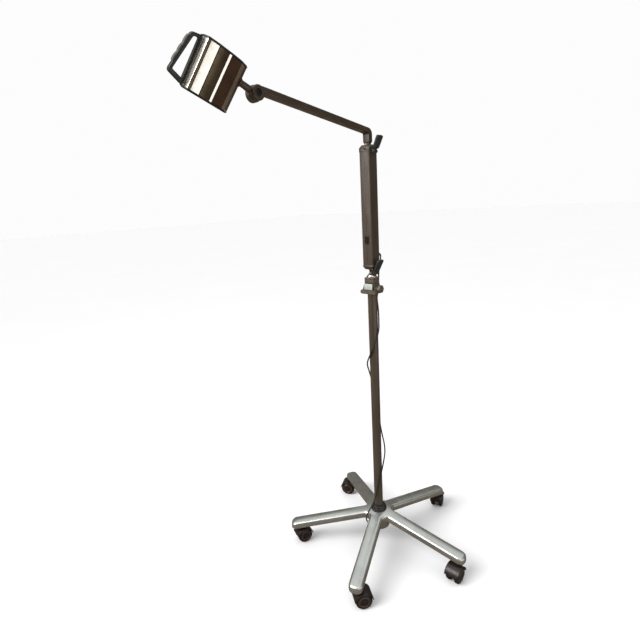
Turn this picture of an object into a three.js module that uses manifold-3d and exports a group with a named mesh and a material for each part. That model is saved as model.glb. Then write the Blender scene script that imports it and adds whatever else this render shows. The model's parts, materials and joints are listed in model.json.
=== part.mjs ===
// Mobile examination light: a five-arm castor base, a pole, a column with the transformer and switch,
// a swivelling boom and a small ribbed lamp head with a handle.
// Millimetres, +Z up. Heights in this file are above the floor; the last lines move the origin to the
// flat underside of the hub cap. The boom points along -X, the switch is on the -X face of the column,
// and the two clamp levers are on its -Y face.

import * as THREE from 'three';
import { mergeVertices } from 'three/addons/utils/BufferGeometryUtils.js';
import { ConvexGeometry } from 'three/addons/geometries/ConvexGeometry.js';
import Module from 'manifold-3d';

const wasm = await Module();
wasm.setup();

// ---- driving dimensions ----
const GAP = 0.3; // clearance between neighbouring pieces
const RAD = Math.PI / 180;

const BASE_RADIUS = 300; // centre to arm tip
const ARM_COUNT = 5;
const FIRST_ARM = 58.3; // degrees from +X
const ARM_WIDTH = 42;
const ARM_DEPTH = 22;
const ARM_TIP_BOTTOM = 60;
const ARM_SLOPE = 0.172; // rise per millimetre towards the hub
const ARM_CORNER = 17;
const WEB_FILLET = 16;
const HUB_BOTTOM = 65.3;
const HUB_TOP = 128;
const HUB_CAP_UNDERSIDE = 62;
const HUB_CAP_RADIUS = 24;
const HUB_RADIUS = 38;
const ARM_BEVEL = 6;
const POCKET_INNER = 62; // the hollow under each arm, measured from the centre
const POCKET_OUTER = 250;
const POCKET_HALF_WIDTH = 13;
const POCKET_DEPTH = 15;

const POLE_RADIUS = 14;
const POLE_WALL = 2;
const POLE_BOTTOM = 80;
const POLE_TOP = 885.5;
const COLLAR_TOP = 142;
const COLLAR_RADIUS = 26;

const CASTOR_RING = 278; // centre to castor stem
const WHEEL_RADIUS = 25;
const WHEEL_OUTER = 22; // half the overall width of a pair
const WHEEL_INNER = 8;
const CASTOR_TRAIL = 17;
const STEM_RADIUS = 5;
const STEM_TOP = 76;
const HOOD_TOP = 57.7;
const HOOD_BOSS_RADIUS = 10;
const HOOD_WEB_HALF = 6.5;
const CASTOR_HEADINGS = [115, -20, -36, 178, 20]; // where each castor trails, in degrees

const FLANGE_BOTTOM = 862;
const FLANGE_TOP = 876;
const BLOCK_TOP = 894;
const COLLAR_BLOCK_TOP = 912;
const DOME_TOP = 921;
const KNOB_HEIGHT = 878;
const KNOB_RADIUS = 12;
const KNOB_FACE = 35.5; // from the pole axis
const BUSH_RADIUS = 8;
const COLLAR_BLOCK_HALF = 16;
const SCREW_RADIUS = 2;
const SCREW_SPACING = 16;
const SCREW_HEIGHT = 906;

const COLUMN_WIDTH = 35;
const COLUMN_WALL = 2;
const COLUMN_CORNER = 2.5;
const COLUMN_BOTTOM = 936; // underside of the bottom cap
const TUBE_BOTTOM = 948;
const TUBE_TOP = 1260;
const COLUMN_TOP = 1278; // top of the top cap
const CAP_CHAMFER = 8;
const SPIGOT_RADIUS = 6;
const SWITCH_HEIGHT = 1021;
const GLAND_HEIGHT = 976;
const TRANSFORMER_BOTTOM = 1080;
const TRANSFORMER_TOP = 1170;
const GLAND_Y = -8;

const LEVER_LENGTH = 43.4; // from the pivot to the tip
const LEVER_LEAN = 27; // degrees from vertical
const LEVER_BARREL = 4.6;
const LEVER_HALF = 13;
const LEVER_THICKNESS = 7;
const PIN_RADIUS = 1.6;
const CHEEK_INNER = 5.8;
const CHEEK_OUTER = 8.5;
const LOWER_PIVOT = [0, -14.6, 924.2];
const UPPER_PIVOT = [0, -22.4, 1259];

const BOOM_WIDTH = 24;
const BOOM_THICKNESS = 13;
const BOOM_FOOT = 1281.3;
const BOOM_AXIS_HEIGHT = 1313; // where the boom's axis meets the column's axis
const BOOM_REACH = 384;
const KNUCKLE_HEIGHT = 1361.5;
const BOOM_OVER_KNUCKLE = 9; // the bar's axis passes this far above the knuckle
const KNUCKLE_RADIUS = 16;
const NECK_DISC_RADIUS = 17;
const NECK_DISC_BACK = 16;

const NECK_LENGTH = 47; // knuckle axis to the back wall of the head
const NECK_RADIUS = 7;
const TENON_RADIUS = 4.6;
const BOLT_RADIUS = 4;
const NECK_TILT = 21.5; // degrees
const HEAD_ROLL = 116.3; // degrees
const HEAD_LENGTH = 107;
const HEAD_WIDTH = 91.4; // length of the ribbed extrusion
const HEAD_OFFSET = -16.7; // head centre from the neck axis, across
const HANDLE_OFFSET = HEAD_OFFSET + 2; // the loop sits a little to one side
const HEAD_RISE = 15; // neck axis to the handle plane
const HEAD_WALL = 2.5;
const LENS_DROP = 23; // how much lower the glass side is at the neck than at the handle
const CORD_RADIUS = 2.2;

// ---- solids ----
function toSolid(geometry) {
  const bare = geometry.clone();
  bare.deleteAttribute('normal');
  bare.deleteAttribute('uv');
  const merged = mergeVertices(bare, 1e-4);
  const corners = [];
  for (let i = 0; i < merged.index.count; i += 3) {
    const [a, b, c] = [0, 1, 2].map((k) => merged.index.getX(i + k));
    if (a !== b && b !== c && c !== a) corners.push(a, b, c);
  }
  const vertProperties = new Float32Array(merged.attributes.position.array);
  const triVerts = new Uint32Array(corners);
  return new wasm.Manifold(new wasm.Mesh({ numProp: 3, vertProperties, triVerts }));
}

function toGeometry(solid) {
  const mesh = solid.getMesh();
  const geometry = new THREE.BufferGeometry();
  geometry.setAttribute('position', new THREE.BufferAttribute(mesh.vertProperties, 3));
  geometry.setIndex(new THREE.BufferAttribute(mesh.triVerts, 1));
  geometry.computeVertexNormals();
  return geometry;
}

function join(...geometries) {
  return toGeometry(geometries.map(toSolid).reduce((all, next) => all.add(next)));
}

function cut(geometry, ...tools) {
  return toGeometry(tools.map(toSolid).reduce((left, tool) => left.subtract(tool), toSolid(geometry)));
}

// Turned shape about Z from [radius, height] points, listed up the outside and down the inside.
function turned(profile, segments = 24) {
  const points = profile.map(([radius, height]) => new THREE.Vector2(radius, height));
  return new THREE.LatheGeometry(points, segments).rotateX(Math.PI / 2);
}

function rod(radius, low, high, segments = 24) {
  return turned([[0, low], [radius, low], [radius, high], [0, high]], segments);
}

function tube(outer, inner, low, high, segments = 24) {
  return turned([[outer, low], [outer, high], [inner, high], [inner, low], [outer, low]], segments);
}

function hexagon(radius, low, high) {
  return rod(radius, low, high, 6);
}

// Turns a shape about Z into one about another axis.
function alongX(geometry) {
  return geometry.rotateY(Math.PI / 2);
}

function alongMinusY(geometry) {
  return geometry.rotateX(Math.PI / 2);
}

function block(x0, x1, y0, y1, z0, z1) {
  const geometry = new THREE.BoxGeometry(x1 - x0, y1 - y0, z1 - z0);
  return geometry.translate((x0 + x1) / 2, (y0 + y1) / 2, (z0 + z1) / 2);
}

function hull(points) {
  return new ConvexGeometry(points.map(([x, y, z]) => new THREE.Vector3(x, y, z)));
}

// Four-sided block between two rectangles, each given as [x0, x1, y0, y1, height].
function taper(...rings) {
  const points = [];
  for (const [x0, x1, y0, y1, z] of rings) {
    for (const x of [x0, x1]) {
      for (const y of [y0, y1]) points.push([x, y, z]);
    }
  }
  return hull(points);
}

function extrude(shape, depth, bevel = 0, curveSegments = 6) {
  const geometry = new THREE.ExtrudeGeometry(shape, {
    depth: depth - 2 * bevel,
    bevelEnabled: bevel > 0,
    bevelThickness: bevel,
    bevelSize: bevel,
    bevelOffset: -bevel,
    bevelSegments: 2,
    curveSegments,
  });
  return geometry.translate(0, 0, bevel);
}

const [AXIS_X, AXIS_Y, AXIS_Z] = [0, 1, 2].map((k) => new THREE.Vector3().setComponent(k, 1));

// A shape drawn in (y, z) and extruded from x0 to x1.
function extrudeX(shape, x0, x1, bevel, curveSegments) {
  const turn = new THREE.Matrix4().makeBasis(AXIS_Y, AXIS_Z, AXIS_X);
  return extrude(shape, x1 - x0, bevel, curveSegments).applyMatrix4(turn).translate(x0, 0, 0);
}

// A shape drawn in (x, z) and extruded from y0 to y1.
function extrudeY(shape, y0, y1, bevel, curveSegments) {
  const turn = new THREE.Matrix4().makeBasis(AXIS_X, AXIS_Z, AXIS_Y.clone().negate());
  return extrude(shape, y1 - y0, bevel, curveSegments).applyMatrix4(turn).translate(0, y1, 0);
}

function extrudeZ(shape, z0, z1, bevel, curveSegments) {
  return extrude(shape, z1 - z0, bevel, curveSegments).translate(0, 0, z0);
}

function polygon(points) {
  return new THREE.Shape(points.map(([x, y]) => new THREE.Vector2(x, y)));
}

function roundedRectangle(x0, x1, y0, y1, radius) {
  const shape = new THREE.Shape();
  shape.moveTo(x0 + radius, y0);
  shape.absarc(x1 - radius, y0 + radius, radius, -90 * RAD, 0, false);
  shape.absarc(x1 - radius, y1 - radius, radius, 0, 90 * RAD, false);
  shape.absarc(x0 + radius, y1 - radius, radius, 90 * RAD, 180 * RAD, false);
  shape.absarc(x0 + radius, y0 + radius, radius, 180 * RAD, 270 * RAD, false);
  return shape;
}

function cable(points, steps) {
  const path = new THREE.CatmullRomCurve3(points.map((p) => new THREE.Vector3(...p)), false, 'centripetal');
  const section = new THREE.Shape().absarc(0, 0, CORD_RADIUS, 0, 2 * Math.PI, false);
  const options = { steps, curveSegments: 3, extrudePath: path, bevelEnabled: false };
  return new THREE.ExtrudeGeometry(section, options);
}

// ---- scene graph ----
function finish(color, roughness, metalness) {
  return () => new THREE.MeshStandardMaterial({ color, roughness, metalness });
}

const FINISHES = {
  castAluminium: finish(0xa8aeaa, 0.4, 0.9),
  taupePaint: finish(0x645c52, 0.45, 0.2),
  greyPaint: finish(0x8a867c, 0.5, 0.3),
  blackPlastic: finish(0x1b1b1c, 0.5, 0),
  leverPlastic: finish(0x2d3234, 0.55, 0),
  brownPlastic: finish(0x28191a, 0.5, 0),
  steel: finish(0x9a9a96, 0.35, 1),
  bright: finish(0xe8e8e4, 0.2, 1),
  white: finish(0xe1ebe6, 0.6, 0),
  anodised: finish(0xc9c6b6, 0.3, 0.9),
  glass: finish(0xdfe8ea, 0.1, 0),
  rubber: finish(0x151515, 0.8, 0),
  brass: finish(0xb09050, 0.35, 1),
};

function add(parent, name, geometry, finishName) {
  const mesh = new THREE.Mesh(geometry, FINISHES[finishName]());
  mesh.name = name;
  parent.add(mesh);
  return mesh;
}

function groupAt(parent, x, y, z) {
  const group = new THREE.Group();
  group.position.set(x, y, z);
  parent.add(group);
  return group;
}

// ---- base ----
function armAngle(arm) {
  return (FIRST_ARM + (arm * 360) / ARM_COUNT) * RAD;
}

// Lifts a flat shape into the shallow cone of the arms.
function raiseToHub(geometry) {
  const position = geometry.attributes.position;
  for (let i = 0; i < position.count; i++) {
    const radius = Math.hypot(position.getX(i), position.getY(i));
    position.setZ(i, position.getZ(i) + ARM_SLOPE * (BASE_RADIUS - radius));
  }
  return geometry;
}

function starOutline() {
  const half = ARM_WIDTH / 2;
  const bisector = Math.PI / ARM_COUNT;
  const filletCentre = (half + WEB_FILLET) / Math.sin(bisector);
  const shape = new THREE.Shape();
  for (let arm = 0; arm < ARM_COUNT; arm++) {
    const a = armAngle(arm);
    const cornerAt = (side) => {
      const along = BASE_RADIUS - ARM_CORNER;
      const across = side * (half - ARM_CORNER);
      const x = along * Math.cos(a) - across * Math.sin(a);
      const y = along * Math.sin(a) + across * Math.cos(a);
      return [x, y, ARM_CORNER];
    };
    const quarter = Math.PI / 2;
    shape.absarc(...cornerAt(-1), a - quarter, a, false);
    shape.absarc(...cornerAt(1), a, a + quarter, false);
    const b = a + bisector;
    const centre = [filletCentre * Math.cos(b), filletCentre * Math.sin(b)];
    shape.absarc(...centre, WEB_FILLET, b + Math.PI + quarter - bisector, b + quarter + bisector, true);
  }
  return shape;
}

function armPocket(arm) {
  const outline = roundedRectangle(POCKET_INNER, POCKET_OUTER, -POCKET_HALF_WIDTH, POCKET_HALF_WIDTH, 8);
  const pocket = extrudeZ(outline, ARM_TIP_BOTTOM - 20, ARM_TIP_BOTTOM + POCKET_DEPTH, 0, 3);
  return raiseToHub(pocket.rotateZ(armAngle(arm)));
}

function starBase() {
  const armTop = ARM_TIP_BOTTOM + ARM_DEPTH;
  const arms = raiseToHub(extrudeZ(starOutline(), ARM_TIP_BOTTOM, armTop, ARM_BEVEL, 3));
  const hub = turned([
    [0, HUB_BOTTOM], [HUB_RADIUS - 4, HUB_BOTTOM], [HUB_RADIUS, 100], [HUB_RADIUS - 2, HUB_TOP - 10],
    [HUB_RADIUS - 7, HUB_TOP - 3], [HUB_RADIUS - 10, HUB_TOP], [0, HUB_TOP],
  ]);
  const tools = [
    rod(POLE_RADIUS + GAP, POLE_BOTTOM - GAP, HUB_TOP + 5),
    rod(STEM_RADIUS + GAP, HUB_BOTTOM - 5, POLE_BOTTOM, 16),
    rod(11, HUB_BOTTOM - 5, 73, 24),
  ];
  for (let arm = 0; arm < ARM_COUNT; arm++) {
    const a = armAngle(arm);
    const bore = rod(STEM_RADIUS + GAP, 50, STEM_TOP + GAP, 16);
    tools.push(bore.translate(CASTOR_RING * Math.cos(a), CASTOR_RING * Math.sin(a), 0));
    tools.push(armPocket(arm));
  }
  return cut(join(arms, hub), ...tools);
}

function poleBolt() {
  return join(hexagon(8.5, 66, 72.5), rod(STEM_RADIUS, 72, 97, 16));
}

function powerCord() {
  // [radius, polar angle, height] down the pole, one and a half turns, then out between two arms
  const run = [
    [19, -9, 845], [17.5, -30, 815], [17, -47, 780], [17, -85, 745], [17, -143, 703], [18, -190, 672],
    [22, -227, 643], [19.5, -262, 612], [17.4, -293, 575], [17, -323, 520], [17, -353, 455], [19, -385, 400],
    [24, -403, 362], [24.5, -410, 330], [19.5, -432, 298], [17, -468, 262], [17, -503, 225], [19, -525, 190],
    [27, -540, 162], [42, -550, 138], [53, -553.7, 118], [55, -553.7, 98], [55, -553.7, 72],
  ];
  const points = run.map(([r, a, z]) => [r * Math.cos(a * RAD), r * Math.sin(a * RAD), z]);
  return cable(points, 76);
}

function addBase(light) {
  add(light, 'star_base', starBase(), 'castAluminium');
  add(light, 'hub_cap', rod(HUB_CAP_RADIUS, HUB_CAP_UNDERSIDE, HUB_BOTTOM - GAP), 'blackPlastic');
  add(light, 'pole_bolt', poleBolt(), 'steel');
  const insert = tube(POLE_RADIUS - POLE_WALL - GAP, STEM_RADIUS + GAP, POLE_BOTTOM + 0.5, POLE_BOTTOM + 20);
  add(light, 'pole_insert', insert, 'steel');
  const bore = POLE_RADIUS + GAP;
  const foot = HUB_TOP + GAP;
  const collar = turned([
    [COLLAR_RADIUS, foot], [COLLAR_RADIUS - 1.5, foot + 5], [COLLAR_RADIUS - 6, COLLAR_TOP],
    [bore, COLLAR_TOP], [bore, foot], [COLLAR_RADIUS, foot],
  ]);
  add(light, 'pole_collar', collar, 'blackPlastic');
  add(light, 'pole', tube(POLE_RADIUS, POLE_RADIUS - POLE_WALL, POLE_BOTTOM, POLE_TOP), 'taupePaint');
  add(light, 'power_cord', powerCord(), 'rubber');
}

// ---- castors: local +X is the trailing direction, the stem is at the origin ----
function castorHood() {
  const axle = [CASTOR_TRAIL, WHEEL_RADIUS];
  const outer = WHEEL_RADIUS + 3.5;
  const inner = WHEEL_RADIUS + 1;
  const fender = new THREE.Shape();
  fender.absarc(...axle, outer, 8 * RAD, 172 * RAD, false);
  fender.absarc(...axle, inner, 172 * RAD, 8 * RAD, true);
  const web = new THREE.Shape();
  web.absarc(...axle, outer - 1, 20 * RAD, 172 * RAD, false);
  web.absarc(...axle, HOOD_BOSS_RADIUS, 200 * RAD, 380 * RAD, false);
  const body = join(
    extrudeY(fender, -WHEEL_OUTER, WHEEL_OUTER, 0, 5),
    extrudeY(web, -HOOD_WEB_HALF, HOOD_WEB_HALF, 0, 5),
    rod(HOOD_BOSS_RADIUS, 38, HOOD_TOP, 16),
  );
  const tools = [
    rod(STEM_RADIUS + GAP, 44, 65, 16),
    alongMinusY(rod(5.6, -10, 10, 16)).translate(axle[0], 0, axle[1]),
  ];
  for (const side of [-1, 1]) {
    const space = alongMinusY(rod(inner, 7, 30, 20));
    if (side > 0) space.rotateZ(Math.PI);
    tools.push(space.translate(axle[0], 0, axle[1]));
  }
  return cut(body, ...tools);
}

function castorStem() {
  const foot = 44.5;
  const ring = STEM_RADIUS + 3; // thrust ring between the hood and the arm
  return turned([
    [0, foot], [STEM_RADIUS, foot], [STEM_RADIUS, HOOD_TOP + GAP], [ring, HOOD_TOP + GAP],
    [ring, HOOD_TOP + 1.6], [STEM_RADIUS, HOOD_TOP + 1.6], [STEM_RADIUS, STEM_TOP - 1],
    [STEM_RADIUS - 1, STEM_TOP], [0, STEM_TOP],
  ], 12);
}

function castorWheels() {
  const half = [
    [STEM_RADIUS, WHEEL_INNER], [WHEEL_RADIUS - 2, WHEEL_INNER], [WHEEL_RADIUS, WHEEL_INNER + 2],
    [WHEEL_RADIUS, WHEEL_OUTER - 4], [WHEEL_RADIUS - 4, WHEEL_OUTER], [0, WHEEL_OUTER],
  ];
  const mirrored = half.map(([r, y]) => [r, -y]).reverse();
  return alongMinusY(turned([...mirrored, ...half], 20));
}

function addCastors(light) {
  for (let arm = 0; arm < ARM_COUNT; arm++) {
    const a = armAngle(arm);
    const castor = groupAt(light, CASTOR_RING * Math.cos(a), CASTOR_RING * Math.sin(a), 0);
    castor.rotation.z = CASTOR_HEADINGS[arm] * RAD;
    add(castor, `castor_${arm + 1}_hood`, castorHood(), 'brownPlastic');
    add(castor, `castor_${arm + 1}_stem`, castorStem(), 'steel');
    const wheels = add(castor, `castor_${arm + 1}_wheels`, castorWheels(), 'brownPlastic');
    wheels.position.set(CASTOR_TRAIL, 0, WHEEL_RADIUS);
  }
}

// ---- adapter between pole and column ----
function socketCasting() {
  const flange = extrudeX(roundedRectangle(-23, 32, FLANGE_BOTTOM, FLANGE_TOP, 6.5), -17, 17, 1.2, 4);
  const tower = taper([-17, 17, -22, 22, FLANGE_TOP - 2], [-16, 16, -16, 16, BLOCK_TOP]);
  return cut(
    join(flange, tower),
    rod(POLE_RADIUS + GAP, FLANGE_BOTTOM - 1, POLE_TOP + GAP),
    rod(BUSH_RADIUS + GAP, POLE_TOP, BLOCK_TOP + 1),
    alongMinusY(rod(3.3, 5, 30, 12)).translate(0, 0, KNOB_HEIGHT),
  );
}

function collarBlock() {
  const half = COLLAR_BLOCK_HALF;
  const outline = roundedRectangle(-half, half, -half, half, 2);
  const tools = [rod(BUSH_RADIUS + GAP, BLOCK_TOP, COLLAR_BLOCK_TOP + 1)];
  for (const side of [-SCREW_SPACING / 2, SCREW_SPACING / 2]) {
    tools.push(alongX(rod(SCREW_RADIUS, -half - 1, -half + 3, 8)).translate(0, side, SCREW_HEIGHT));
    tools.push(alongMinusY(rod(SCREW_RADIUS, half - 3, half + 1, 8)).translate(side, 0, SCREW_HEIGHT));
  }
  return cut(extrudeZ(outline, BLOCK_TOP + GAP, COLLAR_BLOCK_TOP, 1, 3), ...tools);
}

function clampKnob() {
  const lobes = 6;
  const outline = new THREE.Shape();
  const steps = 30;
  for (let i = 0; i < steps; i++) {
    const a = (i / steps) * 2 * Math.PI;
    const radius = KNOB_RADIUS + 0.8 * (Math.cos(lobes * a) - 1);
    outline[i ? 'lineTo' : 'moveTo'](radius * Math.cos(a), radius * Math.sin(a));
  }
  const grip = extrudeZ(outline, KNOB_FACE - 11.2, KNOB_FACE, 1.5);
  return alongMinusY(join(grip, rod(3, POLE_RADIUS + GAP, 26, 12)));
}

function labelShape(half0, half1) {
  const foot = FLANGE_TOP + 0.8;
  return polygon([[-half0, foot], [half0, foot], [half1, BLOCK_TOP], [-half1, BLOCK_TOP]]);
}

function addAdapter(light) {
  add(light, 'socket_casting', socketCasting(), 'greyPaint');
  add(light, 'label_holder', extrudeX(labelShape(20.5, 15.8), -18.4, -17.3, 0), 'blackPlastic');
  add(light, 'label_plate', extrudeX(labelShape(14.5, 15), -19.4, -18.7, 0), 'white');
  add(light, 'collar_block', collarBlock(), 'greyPaint');
  const low = COLLAR_BLOCK_TOP + GAP;
  const bore = SPIGOT_RADIUS + GAP;
  const dome = turned([
    [15, low], [15, low + 2], [13.5, DOME_TOP - 3.5], [11, DOME_TOP - 1], [8.5, DOME_TOP],
    [bore, DOME_TOP], [bore, low], [15, low],
  ]);
  add(light, 'dome_ring', dome, 'bright');
  add(light, 'swivel_bush', tube(BUSH_RADIUS, bore, POLE_TOP + 1, COLLAR_BLOCK_TOP), 'brass');
  const cordRun = [[27, -6, 924.5], [26, -5, 900], [24, -4, 872], [19, -3, 847]];
  add(light, 'cord_middle', cable(cordRun, 12), 'rubber');
  add(light, 'clamp_knob', clampKnob(), 'blackPlastic').position.z = KNOB_HEIGHT;
}

// ---- column ----
function cheeks(pivot, anchors) {
  return [-1, 1].map((side) => {
    const points = [];
    for (const x of [CHEEK_INNER, CHEEK_OUTER]) {
      for (let i = 0; i < 12; i++) {
        const a = (i / 12) * 2 * Math.PI;
        const y = pivot[1] + LEVER_BARREL * Math.cos(a);
        const z = pivot[2] + LEVER_BARREL * Math.sin(a);
        points.push([side * x, y, z]);
      }
      for (const [y, z] of anchors) points.push([side * x, y, z]);
    }
    return hull(points);
  });
}

function pinBore(pivot) {
  return alongX(rod(PIN_RADIUS + GAP, -12, 12, 12)).translate(...pivot);
}

function columnBottomCap() {
  const wide = COLUMN_WIDTH / 2;
  const narrow = wide - 5;
  const plug = wide - COLUMN_WALL - GAP;
  const shoulder = COLUMN_BOTTOM + CAP_CHAMFER;
  const body = join(
    taper([-narrow, narrow, -narrow, narrow, COLUMN_BOTTOM], [-wide, wide, -wide, wide, shoulder]),
    block(-wide, wide, -wide, wide, shoulder, TUBE_BOTTOM),
    block(-plug, plug, -plug, plug, TUBE_BOTTOM, TUBE_BOTTOM + 12),
    ...cheeks(LOWER_PIVOT, [[-7, COLUMN_BOTTOM + 1], [-10.5, COLUMN_BOTTOM + 1]]),
  );
  return cut(body, rod(SPIGOT_RADIUS + GAP, 900, 970), pinBore(LOWER_PIVOT));
}

function columnTopCap() {
  const wide = COLUMN_WIDTH / 2;
  const narrow = wide - 5;
  const plug = wide - COLUMN_WALL - GAP;
  const shoulder = COLUMN_TOP - CAP_CHAMFER;
  const body = join(
    taper([-wide, wide, -wide, wide, shoulder], [-narrow, narrow, -narrow, narrow, COLUMN_TOP]),
    block(-wide, wide, -wide, wide, TUBE_TOP, shoulder),
    block(-plug, plug, -plug, plug, TUBE_TOP - 12, TUBE_TOP),
    ...cheeks(UPPER_PIVOT, [[-16.5, TUBE_TOP + 3.5], [-16.5, shoulder - 1]]),
  );
  const screwHole = alongX(rod(2, -18, -14, 10)).translate(0, 0, TUBE_TOP + 6);
  return cut(body, rod(SPIGOT_RADIUS + GAP, 1240, 1290), pinBore(UPPER_PIVOT), screwHole);
}

function columnTube() {
  const half = COLUMN_WIDTH / 2;
  const inside = half - COLUMN_WALL;
  const outline = roundedRectangle(-half, half, -half, half, COLUMN_CORNER);
  outline.holes.push(roundedRectangle(-inside, inside, -inside, inside, 1));
  return cut(
    extrudeZ(outline, TUBE_BOTTOM + GAP, TUBE_TOP - GAP, 0, 3),
    block(-half - 1, -half + 0.6, -0.6, 0.6, TUBE_BOTTOM, TUBE_TOP),
    block(-half - 1, -inside + 1, -6, 6, SWITCH_HEIGHT - 10, SWITCH_HEIGHT + 10),
    alongX(rod(4 + GAP, inside - 1, half + 1, 16)).translate(0, GLAND_Y, GLAND_HEIGHT),
  );
}

function columnSpigot() {
  const r = SPIGOT_RADIUS;
  const ring = 9;
  return turned([
    [0, 888], [r, 888], [r, DOME_TOP + GAP], [ring, DOME_TOP + GAP], [ring, DOME_TOP + 3],
    [r + 0.5, DOME_TOP + 3], [ring, COLUMN_BOTTOM - GAP], [r, COLUMN_BOTTOM - GAP], [r, 955], [0, 955],
  ]);
}

function switchBody() {
  const face = -COLUMN_WIDTH / 2 - GAP;
  const z = SWITCH_HEIGHT;
  const bezel = block(face - 1.5, face, -6.5, 6.5, z - 11, z + 11);
  const body = block(face - 0.5, -5, -5.7, 5.7, z - 9.7, z + 9.7);
  const opening = block(face - 3, -9, -4.5, 4.5, z - 8.8, z + 8.8);
  return cut(join(bezel, body), opening);
}

function switchRocker() {
  // drawn about its pivot, with a shallow V in front
  const profile = [[-4.2, 0], [-5, -8], [-1, -8], [2.5, -3], [2.5, 3], [-1, 8], [-5, 8]];
  return extrudeY(polygon(profile.reverse()), -4, 4, 0);
}

function lever() {
  const top = LEVER_LENGTH;
  const wide = LEVER_HALF;
  const half = LEVER_THICKNESS / 2;
  const paddle = new THREE.Shape();
  paddle.moveTo(-5.2, 0);
  paddle.lineTo(5.2, 0);
  paddle.lineTo(5.2, 8);
  paddle.lineTo(11.6, 8.6);
  paddle.lineTo(wide, top - 5);
  paddle.quadraticCurveTo(wide + 0.5, top, wide - 4, top);
  paddle.lineTo(4 - wide, top);
  paddle.quadraticCurveTo(-wide - 0.5, top, -wide, top - 5);
  paddle.lineTo(-11.6, 8.6);
  paddle.lineTo(-5.2, 8);
  const tools = [alongX(rod(PIN_RADIUS + GAP, -12, 12, 12))];
  for (const x of [-6, 0, 6]) {
    tools.push(block(x - 1, x + 1, -half - 1, -half + 0.8, 13, top - 4));
  }
  const barrel = alongX(rod(LEVER_BARREL, -5.2, 5.2, 20));
  return cut(join(extrudeY(paddle, -half, half, 1, 4), barrel), ...tools);
}

function leverPin() {
  const r = PIN_RADIUS;
  const head = CHEEK_OUTER + GAP;
  const end = head + 1.4;
  return alongX(turned([
    [0, -end], [3, -end], [3, -head], [r, -head], [r, head], [3, head], [3, end], [0, end],
  ], 12));
}

function addLever(parent, name, pivot) {
  const group = groupAt(parent, ...pivot);
  const paddle = add(group, name, lever(), 'leverPlastic');
  paddle.rotation.x = LEVER_LEAN * RAD;
  add(group, `${name}_pin`, leverPin(), 'steel');
}

function addColumn(light) {
  const half = COLUMN_WIDTH / 2;
  add(light, 'spigot', columnSpigot(), 'steel');
  add(light, 'column_bottom_cap', columnBottomCap(), 'taupePaint');
  add(light, 'column_tube', columnTube(), 'taupePaint');
  add(light, 'column_top_cap', columnTopCap(), 'taupePaint');
  const core = half - COLUMN_WALL - GAP;
  add(light, 'transformer', block(-core, core, -core, core, TRANSFORMER_BOTTOM, TRANSFORMER_TOP), 'steel');
  add(light, 'switch_body', switchBody(), 'blackPlastic');
  const rocker = add(light, 'switch_rocker', switchRocker(), 'blackPlastic');
  rocker.position.set(-14.5, 0, SWITCH_HEIGHT);
  rocker.rotation.y = -7 * RAD;
  const gland = turned([
    [4, 14], [4, half + GAP], [5.5, half + GAP], [5.5, 23], [4.5, 30], [2.6, 30], [2.6, 14], [4, 14],
  ], 16);
  add(light, 'cord_gland', alongX(gland).translate(0, GLAND_Y, GLAND_HEIGHT), 'blackPlastic');
  const straight = [16, 24, 31.5].map((x) => [x, GLAND_Y, GLAND_HEIGHT]);
  const run = [...straight, [35, -8, 971], [33.5, -7.5, 955], [29.5, -7, 940], [27, -6, 927]];
  add(light, 'cord_upper', cable(run, 16), 'rubber');
  addLever(light, 'lower_lever', LOWER_PIVOT);
  addLever(light, 'upper_lever', UPPER_PIVOT);
}

// ---- boom ----
function boomBar() {
  const half = BOOM_THICKNESS / 2;
  const [endX, endZ] = [-BOOM_REACH, KNUCKLE_HEIGHT];
  const slope = (KNUCKLE_HEIGHT + BOOM_OVER_KNUCKLE - BOOM_AXIS_HEIGHT) / BOOM_REACH;
  const offset = half * Math.hypot(1, slope);
  const topAt = (x) => BOOM_AXIS_HEIGHT + offset - x * slope;
  const underAt = (x) => BOOM_AXIS_HEIGHT - offset - x * slope;
  const outline = new THREE.Shape();
  outline.moveTo(-half, BOOM_FOOT);
  outline.lineTo(half, BOOM_FOOT);
  outline.lineTo(half, topAt(half) - 11);
  outline.quadraticCurveTo(half, topAt(half), half - 11, topAt(half - 11));
  outline.lineTo(endX, topAt(endX));
  outline.lineTo(endX, underAt(endX));
  outline.lineTo(-half - 3, underAt(-half - 3));
  outline.quadraticCurveTo(-half, underAt(-half), -half, underAt(-half) - 3);
  const width = BOOM_WIDTH / 2;
  const disc = alongMinusY(turned([
    [0, 0.8], [KNUCKLE_RADIUS, 0.8], [KNUCKLE_RADIUS, width - 1.5], [KNUCKLE_RADIUS - 1.5, width], [0, width],
  ]));
  const behind = alongMinusY(rod(NECK_DISC_RADIUS + 1.5, -30, 0.8));
  const footRound = 5;
  const trims = [-1, 1].map((side) => {
    const corner = new THREE.Shape();
    corner.moveTo(side * (width + 1), BOOM_FOOT - 1);
    corner.lineTo(side * (width + 1), BOOM_FOOT + footRound);
    corner.lineTo(side * width, BOOM_FOOT + footRound);
    corner.quadraticCurveTo(side * width, BOOM_FOOT, side * (width - footRound), BOOM_FOOT);
    corner.lineTo(side * (width - footRound), BOOM_FOOT - 1);
    return extrudeX(corner, -10, 10, 0, 4);
  });
  const tools = [
    behind.translate(endX, 0, endZ),
    alongMinusY(rod(BOLT_RADIUS + GAP, -20, 20, 16)).translate(endX, 0, endZ),
    alongMinusY(rod(2 * BOLT_RADIUS, 8, 20, 20)).translate(endX, 0, endZ),
    ...trims,
  ];
  return cut(join(extrudeY(outline, -width, width, 1.5, 5), disc.translate(endX, 0, endZ)), ...tools);
}

function boomSpigot() {
  const r = SPIGOT_RADIUS;
  const ring = 9;
  return turned([
    [0, TUBE_TOP - 10], [r, TUBE_TOP - 10], [r, COLUMN_TOP + GAP], [ring, COLUMN_TOP + GAP],
    [ring, BOOM_FOOT - GAP], [0, BOOM_FOOT - GAP],
  ]);
}

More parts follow.
